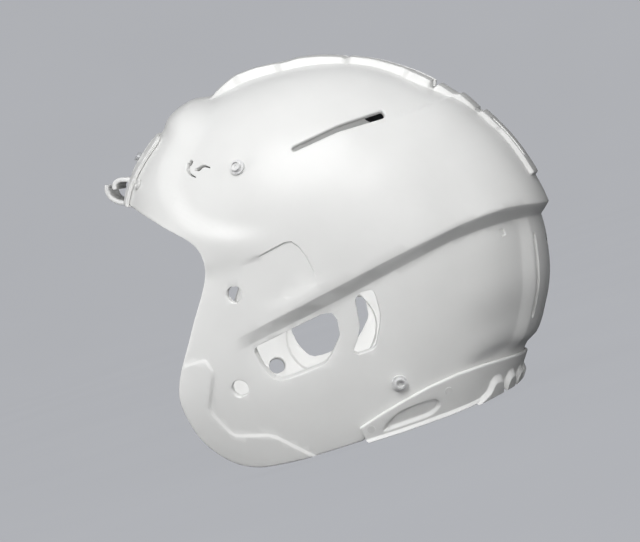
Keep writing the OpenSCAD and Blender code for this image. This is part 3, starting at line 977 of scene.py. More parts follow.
# Thermoformed vinyl over foam, charcoal, with a fine leather grain
LINER_VINYL = Finish("liner_vinyl", "#3a3c40", "#313337", 0.62, 0.06, 18, 1.1, 0.05, Pattern.GRAIN)
# Vinyl of the jaw pads, a tone darker, same grain
JAW_VINYL = Finish("jaw_vinyl", "#2f3135", "#27292d", 0.6, 0.06, 16, 1.1, 0.05, Pattern.GRAIN)
# Hook and loop fabric, black, napped
FASTENER_FABRIC = Finish("fastener_fabric", "#1d1e20", "#141516", 0.92, 0.05, 3, 0.45, 0.15, sheen=0.5)
# Butyl rubber of the inflation valves, black, matte
VALVE_RUBBER = Finish("valve_rubber", "#232427", "#1a1b1d", 0.7, 0.06, 4, 0.5, 0.02)


@dataclass(frozen=True)
class Brow:
    """Raised brow and the crest above the brow plate, in millimetres and degrees."""

    bulge: float = 7.0
    edge: Pair = (0.0, 14.0)
    foot_z: Pair = (128.0, 190.0)
    crown_z: Pair = (190.0, 220.0)
    front_y: Pair = (-24.0, -74.0)
    crest: float = 3.2
    crest_rear: Pair = (117.0, 126.0)
    crest_front: Pair = (133.0, 128.0)
    crest_side: Pair = (70.0, 40.0)
    outline: Outline = Outline(
        through(
            [(-45, 290), (-52, 264), (-58, 247), (-69, 232), (-78, 225), (-84, 215), (-83, 203),
             (-77, 189), (-62, 178), (-40, 170), (-20, 166)]
        )
        + ((-20, 140), (-260, 140), (-260, 290))
    )  # fmt: skip

    def swell(self, spot: Spot) -> Array:
        """Return the rise of the brow, inside and outside, which fades down and to the rear."""
        kept = np.maximum(fade(spot.z, self.crown_z), fade(spot.y, self.front_y))
        return self.bulge * fade(self.outline.depth(spot), self.edge) * fade(spot.z, self.foot_z) * kept

    def height(self, spot: Spot) -> Array:
        """Return the rise of the brow with its crest."""
        crest = self.crest * fade(spot.ring, self.crest_rear) * fade(spot.ring, self.crest_front)
        return self.swell(spot) + crest * fade(spot.x, self.crest_side)


@dataclass(frozen=True)
class Rails:
    """Two rails over the crown and the vent block behind them, in millimetres and degrees."""

    rings: Pair = (-4.0, 117.0)
    half: float = 28.0
    band: Pair = (17.0, 18.0)
    band_from: float = -5.0
    valley_half: float = 8.0
    valley_from: float = 37.1
    valley_rings: Pair = (37.0, 117.0)
    ramp: float = 2.2
    soft: float = 0.14
    step_half: float = 30.0
    rear_mm: float = 2.46
    vent_at: Pair = (10.5, 18.0)
    vent_half: Pair = (17.2, 2.6)
    vent_step: Step = Step(-3.0, 0.8)
    vent_mesh: Pair = (3.0, 1.6)
    scoops: tuple[Pair, ...] = (
        (46, 0), (48, 3.5), (66.5, 3.5), (68, 0), (90, 0), (92, 3.5), (104, 3.5), (107, 0),
    )  # fmt: skip
    narrow: tuple[Pair, ...] = ((-3, 2.2), (13.2, 2.2), (14, 0))
    heights: tuple[Pair, ...] = (
        (-3, 0), (-2.6, 0), (-1.9, 2.8), (-1.5, 3), (20.5, 3), (20.9, 0.4), (22.1, 0.4), (22.5, 1.4),
        (28.9, 3.7), (29.3, 2.6), (30, 2.5), (35.6, 4.8), (36, 4.8), (36.6, 0.8), (37.6, 0.8), (38.6, 5.2),
        (40, 5.6), (46, 5.7), (53, 5), (60, 4.7), (66.5, 4.3), (68, 3.0), (69.5, 4.2), (76, 5), (84, 5.7),
        (87, 5.1), (89, 5.0), (92, 5.5), (98, 6.5), (106, 6.6), (113, 3), (116, 0.4), (118, 0),
    )  # fmt: skip
    steps: tuple[float, ...] = (
        -2.6, -1.9, 20.5, 20.9, 22.1, 22.5, 28.9, 29.5, 36, 36.6, 37.6, 38.6, 66.5, 68, 69.5, 113, 116,
    )  # fmt: skip

    def middle(self, spot: Spot) -> Array:
        """Return how far spots lie from the middle of the band that gets a fine mesh."""
        return np.where(spot.ring > self.band_from, self.band[0] - spot.x, -FAR)

    def edge(self, spot: Spot) -> Array:
        """Return a ramp from 0 at the outer edge of rails and blocks to 1 on top of them."""
        scoop = curve(spot.ring, self.scoops)
        return (self.half - scoop - curve(spot.ring, self.narrow) - spot.x) / self.ramp

    def valley(self, spot: Spot) -> Array:
        """Return a ramp from 0 in the valley between the rails to 1 on top of them."""
        return (spot.x - self.valley_half) / self.ramp

    def vent(self, spot: Spot) -> Array:
        """Return how far spots lie inside the sunk slot of the vent block."""
        along = (spot.ring - self.vent_at[0]) * self.rear_mm
        return rounded_box(along, spot.x - self.vent_at[1], self.vent_half, self.vent_half[1])

    def height(self, spot: Spot) -> Array:
        """Return the rise of rails and blocks."""
        valley = np.where(spot.ring > self.valley_from, crisp(self.valley(spot), self.soft), 1.0)
        return curve(spot.ring, self.heights) * (crisp(self.edge(spot), self.soft) * valley)

    def score(self, patch: Patch) -> None:
        """Give a patch the mesh lines of rails, blocks and vent slot.

        Args:
            patch: The shell's patch.
        """
        edges = crease(self.soft)
        patch.score(lambda s: within(self.edge(s), between(s.ring, self.rings)), edges)
        patch.score(lambda s: within(self.valley(s), between(s.ring, self.valley_rings)), edges)
        patch.score(lambda s: within(s.ring, s.x < self.step_half), self.steps)
        patch.detail(self.vent, self.vent_step, *self.vent_mesh)


@dataclass(frozen=True)
class Nape:
    """Lowered panel of the nape with its slanted sides, slots and notches, in millimetres."""

    sink: float = -1.0
    top_rise: float = 0.9
    top_z: Pair = (92.0, 66.0)
    foot_rise: float = 0.8
    foot_z: Pair = (50.0, 38.0)
    side_drop: float = 2.8
    side_x: Pair = (98.0, 62.0)
    fade_z: Pair = (17.0, 31.0)
    fade_y: Pair = (60.0, 90.0)
    facet_line: tuple[Pair, ...] = ((44.0, 57.0), (75.0, 61.5), (105.0, 60.0))
    facet_wide: float = 11.5
    facet_soft: float = 0.06
    facet_y: float = 55.0
    facet_z: float = 118.0
    slot_z: float = 72.7
    slot_line: tuple[Pair, ...] = ((42.0, 41.4), (75.0, 44.4), (103.0, 44.6))
    slot_half: Pair = (30.0, 2.2)
    slot_radius: float = 2.0
    slot_step: Step = Step(-2.8, 0.6, 0.06)
    slot_mesh: Pair = (2.0, 1.6)
    notch_at: Pair = (109.2, 126.2)
    notch_half: Pair = (2.9, 2.2)
    notch_radius: float = 0.6
    notch_step: Step = Step(-1.0, 0.5)
    notch_mesh: Pair = (3.5, 1.0)

    def facet(self, spot: Spot) -> Array:
        """Return a ramp that is 0 at the foot and 1 at the top of the panel's slanted side."""
        return (curve(spot.z, self.facet_line) - spot.x) / self.facet_wide

    def slot(self, spot: Spot) -> Array:
        """Return how far spots lie inside the narrow upright slot beside the panel."""
        up = np.where(spot.y > 0, spot.z - self.slot_z, FAR)
        return rounded_box(up, spot.x - curve(spot.z, self.slot_line), self.slot_half, self.slot_radius)

    def notch(self, spot: Spot) -> Array:
        """Return how far spots lie inside the small square notch under the flare line."""
        up, along = spot.z - self.notch_at[0], spot.y - self.notch_at[1]
        return rounded_box(up, along, self.notch_half, self.notch_radius)

    def height(self, spot: Spot, low: Array) -> Array:
        """Return the height of the panel and of its slanted sides.

        Args:
            spot: Spots on the form.
            low: Share of the flare at each spot, 0 above the flare line.

        Returns:
            The height, which is mostly below 0.
        """
        panel = self.sink + self.top_rise * fade(spot.z, self.top_z)
        panel += self.foot_rise * fade(spot.z, self.foot_z)
        beside = 1.0 - crisp(self.facet(spot), self.facet_soft)
        panel -= self.side_drop * beside * fade(spot.x, self.side_x)
        return panel * (fade(spot.z, self.fade_z) * fade(spot.y, self.fade_y) * low)

    def score(self, patch: Patch) -> None:
        """Give a patch the mesh lines of panel, slots and notches.

        Args:
            patch: The shell's patch.
        """
        patch.detail(self.slot, self.slot_step, *self.slot_mesh)
        edges = crease(self.facet_soft)
        patch.score(lambda s: within(self.facet(s), (s.y > self.facet_y) & (s.z < self.facet_z)), edges)
        patch.detail(self.notch, self.notch_step, *self.notch_mesh)


@dataclass(frozen=True)
class Shell:
    """One-piece shell with its raised, sunk and cut forms, in millimetres."""

    wall: float = 4.0
    cells: int = 56
    margin: float = 8.0
    fine: float = 2.6
    edge: float = 1.2
    ledge_soft: float = 0.04
    brow: Brow = Brow()
    rails: Rails = Rails()
    nape: Nape = Nape()
    ledge_top: tuple[Pair, ...] = (
        (-130, 86), (-100, 93), (-70, 99), (-28, 106), (11, 113), (42, 118.5), (72, 123),
        (92, 126), (108, 127.3), (127, 127.5), (136, 126), (152, 122), (190, 110),
    )  # fmt: skip
    ledge_foot: tuple[Pair, ...] = (
        (-130, 80), (-100, 85), (-67, 91), (-32, 95.6), (6, 101.6), (60, 111), (88, 115.4),
        (106, 116.3), (117, 116.5), (128, 116), (146, 114.6), (190, 104),
    )  # fmt: skip
    undercut_depth: float = 2.6
    undercut_front: Pair = (-82.0, -70.0)
    undercut_rear: Pair = (6.0, -48.0)
    undercut_z: Pair = (50.0, 88.0)
    collar_thick: float = 2.0
    collar_at: Pair = (-40.0, 74.0)
    collar_half: Pair = (36.5, 32.0)
    collar_ramp: float = 0.03
    jaw_step: Step = Step(1.3, 1.4)
    jaw_panel: Outline = Outline(
        ((-160, 91), (-103.8, 91), (-100.7, 80), (-113, 55.5), (-102, 34), (-75, 27), (-50, 0),
         (-50, -30), (-160, -30)),
        3.0,
    )  # fmt: skip
    recess_step: Step = Step(1.3, 1.0)
    recess_front: Pair = (-62.0, -36.0)
    recess_y: Pair = (-64.0, -9.0)
    recess_x: float = 60.0
    recess_line: tuple[Pair, ...] = ((-62.0, 107.5), (-11.0, 116.2))
    recess_ramp: float = 4.0
    recess_soft: float = 0.1
    recess: Outline = Outline(
        ((-62, 145), (-24, 152), (-18, 150.5), (-15.6, 145.4), (-11.4, 134.5), (-10.6, 124), (-11.2, 116.5),
         (-16, 112), (-62, 100)),
        2.0,
    )
    faint_line: tuple[Pair, ...] = ((60, 209.5), (81, 212), (109, 214.2), (118, 215))
    faint_step: Step = Step(0.9, 0.9)
    faint_end: Pair = (32.0, 2.0)
    faint_y: Pair = (62.0, 88.0)
    faint_ring: float = 60.0
    faint_half: float = 28.0
    rim: Outline = Outline(
        ((260, 520), (-260, 520), (-260, 215.0), (-137.5, 214.6))
        + through(
            [(-135.5, 213.4), (-132.5, 210.5), (-128.5, 207.6), (-123.2, 202.6), (-116, 196.2),
             (-102.4, 183.4), (-92, 173.8), (-86.5, 166), (-84.5, 158), (-85.5, 149), (-89.8, 140),
             (-96.2, 130), (-104.4, 118.5), (-113, 105.5), (-123.7, 90), (-131.2, 76.2), (-133.6, 66.2),
             (-132.8, 55), (-128.6, 38.4), (-119.8, 24), (-107.4, 12.4), (-94, 6.2), (-83, 4.2)]
        )
        + ((-72, 3.2), (-60, 2.4), (-18, 2.4), (-14, 3.4))
        + through(
            [(45, 4.4), (62, 5.6), (80, 7.6), (90, 9.2), (96, 11.8), (101, 15.4), (112, 20.2), (128, 24.4)]
        )
        + ((260, 24.4),)
    )  # fmt: skip
    front_ear: Cut = Cut(
        Outline(
            ((-69.6, 86), (-67.4, 72.8), (-62, 62.6), (-55.6, 60), (-38, 61), (-24, 62.4), (-16, 69.4),
             (-8.8, 77.4), (-7.0, 90), (-10.6, 97), (-40, 92.5), (-67, 88.2)),
            3.0,
        ),
        0.5, 2.0,
    )  # fmt: skip
    rear_ear: Cut = Cut(
        Outline(
            ((8.9, 98.5), (11.5, 101.4), (16, 102.8), (22, 102), (23.4, 99), (22.8, 84), (20.3, 76.7),
             (12.5, 62.8), (8, 61.8), (-3, 61.8), (-4, 64), (1.6, 71), (6.7, 80)),
            2.5,
        ),
        0.5, 2.0,
    )  # fmt: skip
    slot: Cut = Cut(
        Outline(
            ((-2, 211.2), (-0.6, 209.6), (31.6, 213.6), (64.5, 213.2), (66, 215), (64.8, 218.6),
             (32.8, 217.8), (-1, 213)),
            1.2,
        ),
        1.2, 1.4,
    )  # fmt: skip
    comma: Cut = Cut(
        Slit(
            ((-75.2, 225.2, 1.5), (-77.4, 223.6, 1.4), (-78.6, 221.0, 1.1), (-78.3, 218.4, 0.8),
             (-76.8, 216.2, 0.55), (-74.0, 213.9, 0.3))
        ),
        0.8, 0.9,
    )  # fmt: skip
    wave: Cut = Cut(
        Slit(
            ((-72.8, 218.9, 0.6), (-71.2, 218.5, 1.1), (-69.6, 218.8, 1.25), (-68.0, 219.4, 1.1),
             (-66.5, 219.7, 0.85), (-65.0, 219.3, 0.65), (-63.4, 218.3, 0.45), (-61.8, 217.2, 0.3))
        ),
        0.6, 0.9,
    )  # fmt: skip
    guard_holes: tuple[tuple[float, ...], ...] = ((-70.0, 127.5, 0.0, 5.6), (-87.2, 63.5, 0.0, 6.0))
    snap_holes: tuple[tuple[float, ...], ...] = ((-42.0, 211.0, 0.0, 1.8), (20.0, 34.3, 7.5, 1.8))
    valve_holes: tuple[Pair, ...] = ((84.0, 0.0), (-20.0, -2.5))
    valve_radius: float = 4.2
    hole_edge: float = 0.9
    hole_fine: float = 1.1

    def ledge(self, spot: Spot) -> Array:
        """Return a ramp that is 0 above the flare line and 1 below it."""
        top = curve(spot.y, self.ledge_top)
        return (top - spot.z) / (top - curve(spot.y, self.ledge_foot))

    def low(self, spot: Spot) -> Array:
        """Return the share of the flare, 0 above its line and 1 below it."""
        return crisp(self.ledge(spot), self.ledge_soft)

    def undercut(self, spot: Spot) -> Array:
        """Return how far the wall turns in right under the flare line over the front ear hole."""
        along = fade(spot.y, self.undercut_front) * fade(spot.y, self.undercut_rear)
        return self.undercut_depth * along * fade(spot.z, self.undercut_z)

    def over_recess(self, spot: Spot) -> Array:
        """Return how far spots lie over the line at which the temple recess starts."""
        return spot.z - curve(spot.y, self.recess_line)

    def recess_depth(self, spot: Spot) -> Array:
        """Return the depth of the temple recess, which fades to the front and the foot."""
        sides = self.recess_step.height(self.recess.depth(spot)) * fade(spot.y, self.recess_front)
        return sides * crisp(self.over_recess(spot) / self.recess_ramp, self.recess_soft)

    def under_faint(self, spot: Spot) -> Array:
        """Return how far spots lie below the faint step behind the slot."""
        return curve(spot.y, self.faint_line) - spot.z

    def faint_height(self, spot: Spot) -> Array:
        """Return the rise under the faint step, which fades down and to the front.

        Args:
            spot: Spots on the form.

        Returns:
            The rise of each spot.
        """
        below = self.under_faint(spot)
        rise = np.where(spot.ring < self.faint_ring, self.faint_step.height(below), 0.0)
        return rise * fade(below, self.faint_end) * fade(spot.y, self.faint_y)

    def height(self, spot: Spot) -> Array:
        """Add up the height of the outer face over the form.

        Args:
            spot: Spots on the form.

        Returns:
            The height of each spot.
        """
        low = self.low(spot)
        return (
            self.brow.height(spot)
            + self.rails.height(spot)
            - FORM.flare(spot.y) * low
            - FORM.tuck(spot)
            - self.undercut(spot) * low
            + self.nape.height(spot, low)
            + self.jaw_step.height(self.jaw_panel.depth(spot))
            - self.recess_depth(spot)
            + self.rails.vent_step.height(self.rails.vent(spot))
            + self.nape.slot_step.height(self.nape.slot(spot))
            + self.nape.notch_step.height(self.nape.notch(spot))
            + self.faint_height(spot)
        )

    def collar(self, spot: Spot) -> Array:
        """Return a level that is positive inside the thick collar round the front ear hole."""
        along, up = spot.y - self.collar_at[0], spot.z - self.collar_at[1]
        return 1.0 - np.hypot(along / self.collar_half[0], up / self.collar_half[1])

    def under(self, spot: Spot) -> Array:
        """Work out the height of the inner face over the form.

        Args:
            spot: Spots on the form.

        Returns:
            The height of each spot.
        """
        inset = (FORM.flare(spot.y) + self.undercut(spot)) * self.low(spot)
        face = self.brow.swell(spot) - inset - FORM.tuck(spot) - self.wall
        return face - self.collar_thick * fade(self.collar(spot), (0.0, self.collar_ramp))

    def round_holes(self) -> list[Level]:
        """Find the round holes for face guard, snaps and valves.

        Returns:
            A level for each hole, positive outside it.
        """
        sides = [(*FORM.beside(*place), radius) for *place, radius in (*self.guard_holes, *self.snap_holes)]
        valves = [(*FORM.crown(*place), self.valve_radius) for place in self.valve_holes]
        return [bore(*hole) for hole in (*sides, *valves)]

    def build(self, material: Material) -> Object:
        """Model the shell.

        Args:
            material: Its finish.

        Returns:
            The finished shell.
        """
        patch = Patch(self.height, self.cells)
        patch.crop(self.rim.depth, self.margin)
        patch.refine(self.rails.middle, self.rails.band[1], self.fine, cut=False)
        patch.trim(self.rim.depth, self.edge, self.fine)
        for cut in (self.front_ear, self.rear_ear, self.slot, self.comma, self.wave):
            patch.trim(cut.outside, cut.rounding, cut.fine)
        for hole in self.round_holes():
            patch.trim(hole, self.hole_edge, self.hole_fine)
        patch.score(self.ledge, crease(self.ledge_soft))
        patch.score(self.collar, (0.0, self.collar_ramp))
        edges = crease(self.jaw_step.soft)
        patch.score(lambda s: self.jaw_panel.depth(s) / self.jaw_step.ramp, edges)
        patch.score(self.recess.depth, (0.0, self.recess_step.ramp))
        patch.score(lambda s: within(
            self.over_recess(s), between(s.y, self.recess_y) & (s.x > self.recess_x)
        ), (0.0, self.recess_ramp))
        self.rails.score(patch)
        self.nape.score(patch)
        patch.score(lambda s: within(
            self.under_faint(s) / self.faint_step.ramp,
            (s.y > self.faint_y[0]) & (s.x > self.faint_half) & (s.ring < self.faint_ring),
        ), (0.0, 1.0))
        piece = make_object("shell_moulding", patch.solid(self.height, self.under), material)
        return settle(piece, "shell_gloss", "shell")


SHELL = Shell()


def bore(point: Vector, way: Vector, radius: float) -> Level:
    """Return a level that is positive outside a round hole.

    Args:
        point: Point on the hole's axis.
        way: Direction of the axis.
        radius: Radius of the hole.

    Returns:
        The distance outside the hole, for the half of the axis near the point.
    """
    axis = np.array(way)

    def level(spot: Spot) -> Array:
        """Measure how far spots lie outside the hole.

        Args:
            spot: Spots on the form.

        Returns:
            The distance of each spot.
        """
        off = spot.place - np.array(point)
        along = off @ axis
        across = np.linalg.norm(off - along[:, None] * axis, axis=1) - radius
        return np.where(np.abs(along) < BORE_REACH, across, BORE_REACH)

    return level


@dataclass(frozen=True)
class BrowPlate:
    """Plate over the brow with rounded edges and a bare raised field, in millimetres."""

    cells: int = 80
    margin: float = 6.0
    rounding: float = 0.6
    fine: float = 1.8
    foot: float = 7.3
    top: float = 9.0
    turn_up: float = 1.2
    ring_mm: float = 2.58
    rings: Pair = (134.0, 162.0)
    half: float = 48.0
    corner: float = 8.0
    edge: tuple[Pair, ...] = (
        (-200, 212.8), (-137, 212.6), (-135.2, 211.6), (-132, 208), (-128.5, 205.4), (-120, 200),
    )  # fmt: skip
    edge_slope: float = 0.8
    wrap: float = 8.5
    wrap_edge: Pair = (1.1, 1.45)
    field_ring: float = 141.5
    field_half: Pair = (14.5, 25.0)
    field_corner: float = 4.0
    field_step: Step = Step(0.5, 0.8)
    boss_at: Pair = (142.0, 30.0)
    boss_radius: float = 5.2
    boss_top: float = 10.25
    boss_step: Step = Step(1.0, 1.2)
    boss_mesh: Pair = (3.0, 1.5)

    def depth(self, spot: Spot) -> Array:
        """Measure how far spots lie inside the plate's outline.

        Args:
            spot: Spots on the form.

        Returns:
            The depth of each spot, negative outside.
        """
        length = (spot.ring - sum(self.rings) / 2) * self.ring_mm
        half_length = (self.rings[1] - self.rings[0]) * self.ring_mm / 2
        shape = rounded_box(length, spot.x, (half_length, self.half), self.corner)
        return np.minimum(shape, self.over_edge(spot))

    def over_edge(self, spot: Spot) -> Array:
        """Return how far spots lie over the plate's lower edge, which follows the shell's rim."""
        return (spot.z - curve(spot.y, self.edge)) * self.edge_slope

    def under(self, spot: Spot) -> Array:
        """Return the height of the inner face, which wraps under the shell's rim."""
        over = self.over_edge(FORM.raised(spot, self.top))
        return self.foot - self.wrap * fade(over, self.wrap_edge[::-1])

    def field(self, spot: Spot) -> Array:
        """Return how far spots lie inside the raised field."""
        length = (spot.ring - self.field_ring) * self.ring_mm
        return rounded_box(length, spot.x, self.field_half, self.field_corner)

    def boss(self, spot: Spot) -> Array:
        """Return how far spots lie inside the boss round a clip screw."""
        ring, x = self.boss_at
        return self.boss_radius - np.hypot((spot.ring - ring) * self.ring_mm, spot.x - x)

    def height(self, spot: Spot) -> Array:
        """Return the height of the outer face over the form."""
        flat = self.top + self.turn_up * (spot.x / self.half) ** 2 + self.field_step.height(self.field(spot))
        return flat + (self.boss_top - flat) * self.boss_step.height(self.boss(spot))

    def build(self, material: Material) -> Object:
        """Model the plate.

        Args:
            material: Its finish.

        Returns:
            The finished plate.
        """
        patch = Patch(lambda s: np.full(s.x.shape, self.top), self.cells)
        patch.crop(self.depth, self.margin)
        patch.trim(self.depth, self.rounding, self.fine)
        patch.score(self.over_edge, self.wrap_edge, cut=True)
        patch.score(lambda s: self.field(s) / self.field_step.ramp, (0.0, 1.0))
        patch.detail(self.boss, self.boss_step, *self.boss_mesh)
        solid = patch.solid(self.height, self.under)
        return settle(make_object("brow_plate", solid, material), "trim_white", "front_bumper")


@dataclass(frozen=True)
class Clip:
    """Hooked clip for a face guard's top bar: two straps curled round the bar's seat."""

    thick: float = 3.0
    half: float = 22.0
    across: int = 8
    along: int = 4
    bevel: float = 0.9
    bevel_steps: int = 3
    bevel_from: float = 50.0
    upper: tuple[Pair, ...] = (
        (-142.2, 224.9), (-142.0, 227.3), (-140.2, 229.7), (-137.0, 230.5), (-133.5, 229.6),
        (-129.5, 228.3),
    )  # fmt: skip
    lower: tuple[Pair, ...] = (
        (-146.9, 229.8), (-148.1, 226.4), (-147.9, 222.3), (-145.9, 218.4), (-142.8, 215.6),
        (-139.2, 213.6), (-135.5, 212.6),
    )  # fmt: skip

    def strip(self, line: Sequence[Pair]) -> Mesh:
        """Return the middle face of a strap, which follows a line across the helmet.

        Args:
            line: Y and Z of the line's points in millimetres.

        Returns:
            The open strip in metres.
        """
        mesh = bmesh.new()
        verts = [mesh.verts.new((-self.half * METRE, y * METRE, z * METRE)) for y, z in line]
        edges = [mesh.edges.new(pair) for pair in zip(verts, verts[1:])]
        stride = (2 * self.half * METRE / self.across, 0, 0)
        bmesh.ops.spin(
            mesh, geom=edges, cent=(0, 0, 0), axis=(1, 0, 0), dvec=stride, angle=0.0, steps=self.across
        )
        bmesh.ops.recalc_face_normals(mesh, faces=mesh.faces)
        return mesh

    def build(self, material: Material) -> list[Object]:
        """Model the clip.

        Args:
            material: Its finish.

        Returns:
            The upper and the lower strap.
        """
        pieces = []
        for name, line in (("clip_upper", self.upper), ("clip_lower", self.lower)):
            piece = make_object(name, self.strip(through(line, self.along)), material)
            wall = piece.modifiers.new("wall", "SOLIDIFY")
            wall.thickness = self.thick * METRE
            wall.offset = 0.0
            bevel = piece.modifiers.new("edges", "BEVEL")
            bevel.width = self.bevel * METRE
            bevel.segments = self.bevel_steps
            bevel.limit_method = "ANGLE"
            bevel.angle_limit = math.radians(self.bevel_from)
            pieces.append(settle(piece, "clip_white", "face_guard_clip"))
        return pieces


@dataclass(frozen=True)
class Bumper:
    """Soft edge strip round the foot of the shell, in millimetres and degrees."""

    cells: int = 72
    margin: float = 6.0
    rounding: float = 0.7
    fine: float = 2.4
    thick: float = 2.8
    gap: float = 0.6
    wrap_edge: Pair = (1.9, 1.5)
    lip_top: float = 1.8
    lip: Step = Step(1.8, 1.2, 0.1)
    tops: tuple[Pair, ...] = (
        (-40, 6), (-14, 12.5), (2, 17), (20, 21.2), (38, 24.6), (60, 27), (74, 27), (86, 26.4),
        (99, 25.2), (108, 24.6), (180, 24.4),
    )  # fmt: skip
    feet: tuple[Pair, ...] = (
        (-40, 1.2), (10, 1.3), (45, 2.2), (62, 3.4), (80, 6.0), (90, 7.4), (96, 10.2), (101, 14.4),
        (112, 19), (128, 22), (180, 24),
    )  # fmt: skip
    foot_mesh: Triple = (3.0, 4.0, 1.8)
    foot_lines: tuple[float, ...] = (0.48, 0.72, 1.68, 1.92, 2.25)
    front: Pair = (-15.5, 6.0)
    front_slope: Pair = (0.97, 0.1)
    tear: Outline = Outline(
        through(
            [(-2.8, 6.1), (4, 10.4), (12.6, 14.5), (25.6, 16.3), (36.3, 16.2), (40.8, 14.8), (41.8, 10.5),
             (36.7, 6.8), (30, 5.1), (14, 4.7), (1, 4.6), (-2.8, 6.1)]
        )
    )  # fmt: skip
    tear_half: float = 60.0
    tear_soft: float = 0.1
    tear_ramp: float = 0.9
    tear_z: Pair = (11.0, 7.0)
    tear_sink: tuple[Pair, ...] = ((7.0, 1.7), (16.0, 0.5))
    arches: tuple[float, ...] = (0.0, 11.6, 23.2, 34.8)
    arch_mm: float = 1.72
    arch_half: Pair = (8.4, 20.0)
    arch_corner: float = 7.5
    arch_top: float = 17.2
    arch_step: Step = Step(3.6, 2.4, 0.1)
    arch_mesh: Pair = (5.0, 1.5)
    arch_lines: tuple[float, ...] = (-0.1, 0.1, 0.5, 0.9, 1.1)
    arch_feet: float = 1.8
    arch_feet_z: Pair = (13.0, 2.0)
    last_arch: tuple[Pair, ...] = ((3.5, 14.0), (6.0, 8.0), (8.5, 3.0), (11.0, 1.0), (17.0, 0.4))

    def arch(self, spot: Spot) -> Array:
        """Measure how far spots lie inside the nearest of the raised arches over the nape.

        Args:
            spot: Spots on the form.

        Returns:
            The depth of each spot, negative outside.
        """
        turn = np.degrees(np.arctan2(spot.x, spot.y))
        last = self.arches[-1]
        feet = self.arch_feet * fade(spot.z, self.arch_feet_z)
        outer = curve(spot.z, self.last_arch) * (turn > last)
        up = spot.z - self.arch_top + self.arch_half[1]
        depths = []
        for place in self.arches:
            aside = np.abs(turn - place) * self.arch_mm - feet - outer * (place == last)
            depths.append(rounded_box(np.maximum(aside, 0.0), up, self.arch_half, self.arch_corner))
        return np.max(depths, axis=0)

    def over_foot(self, spot: Spot) -> Array:
        """Return how far spots lie over the foot line."""
        return spot.z - curve(spot.y, self.feet)

    def depth(self, spot: Spot) -> Array:
        """Measure how far spots lie inside the strip's outline.

        Args:
            spot: Spots on the form.

        Returns:
            The depth of each spot, negative outside.
        """
        side = np.minimum(curve(spot.y, self.tops) - spot.z, self.over_foot(spot))
        behind, up = spot.y - self.front[0], spot.z - self.front[1]
        return np.minimum(side, behind * self.front_slope[0] + up * self.front_slope[1])

    def flat(self, spot: Spot) -> Array:
        """Return the height over the form of the plain strip."""
        return self.thick - FORM.flare(spot.y) - FORM.tuck(spot)

    def tear_share(self, spot: Spot) -> Array:
        """Return the share of the teardrop's depth, with a steep upper wall and a broad lower one."""
        inside = np.where(spot.x > self.tear_half, self.tear.depth(spot), -FAR)
        return inside / (self.tear_ramp + self.tear_ramp * fade(spot.z, self.tear_z))

    def height(self, spot: Spot) -> Array:
        """Add up the height of the outer face over the form.

        Args:
            spot: Spots on the form.

        Returns:
            The height of each spot.
        """
        flat = self.flat(spot)
        place = FORM.raised(spot, flat)
        foot = self.lip.height(self.lip_top - self.over_foot(place))
        tear = curve(place.z, self.tear_sink) * crisp(self.tear_share(place), self.tear_soft)
        return flat + np.maximum(foot, self.arch_step.height(self.arch(place))) - tear

    def under(self, spot: Spot) -> Array:
        """Work out the height of the inner face, which wraps under the shell's edge.

        Args:
            spot: Spots on the form.

        Returns:
            The height of each spot.
        """
        inner = self.gap - FORM.flare(spot.y) - FORM.tuck(spot)
        wrap = fade(self.over_foot(FORM.raised(spot, inner)), self.wrap_edge)
        return inner - (self.gap + SHELL.wall) * wrap

    def build(self, material: Material) -> Object:
        """Model the strip.

        Args:
            material: Its finish.

        Returns:
            The finished strip.
        """
        patch = Patch(self.flat, self.cells)
        patch.crop(self.depth, self.margin)
        middle, *mesh = self.foot_mesh
        patch.refine(lambda s: self.over_foot(s) - middle, *mesh)
        patch.trim(self.depth, self.rounding, self.fine)
        patch.score(self.over_foot, self.foot_lines, cut=True)
        patch.score(self.tear_share, crease(self.tear_soft), cut=True)
        patch.refine(self.arch, *self.arch_mesh)
        patch.score(lambda s: self.arch(s) / self.arch_step.ramp, self.arch_lines, cut=True)
        piece = make_object("edge_strip", patch.solid(self.height, self.under), material)
        return settle(piece, "trim_white", "rear_bumper")


@dataclass(frozen=True)
class NapeValve:
    """Rubber inflation valve whose mouth lies just under the face of the nape, in millimetres."""

    ring: float = -20.0
    face: float = -8.7
    segments: int = 32
    profile: tuple[Pair, ...] = (
        (0.0, -2.0), (1.0, -2.0), (1.3, -0.3), (1.6, 0.0), (3.2, 0.0), (3.7, -0.5), (3.7, -2.8), (6.2, -3.0),
        (6.2, -4.4), (3.4, -4.6), (3.0, -13.5), (2.4, -14.0), (0.0, -14.0),
    )  # fmt: skip

    def build(self, material: Material) -> Object:
        """Model the valve.

        Args:
            material: Its finish.

        Returns:
            The finished valve.
        """
        mesh = lathe(self.profile, self.segments)
        mesh.transform(facing(*FORM.crown(self.ring, self.face)))
        return settle(make_object("nape_valve_body", mesh, material), "valve_rubber", "nape_valve")


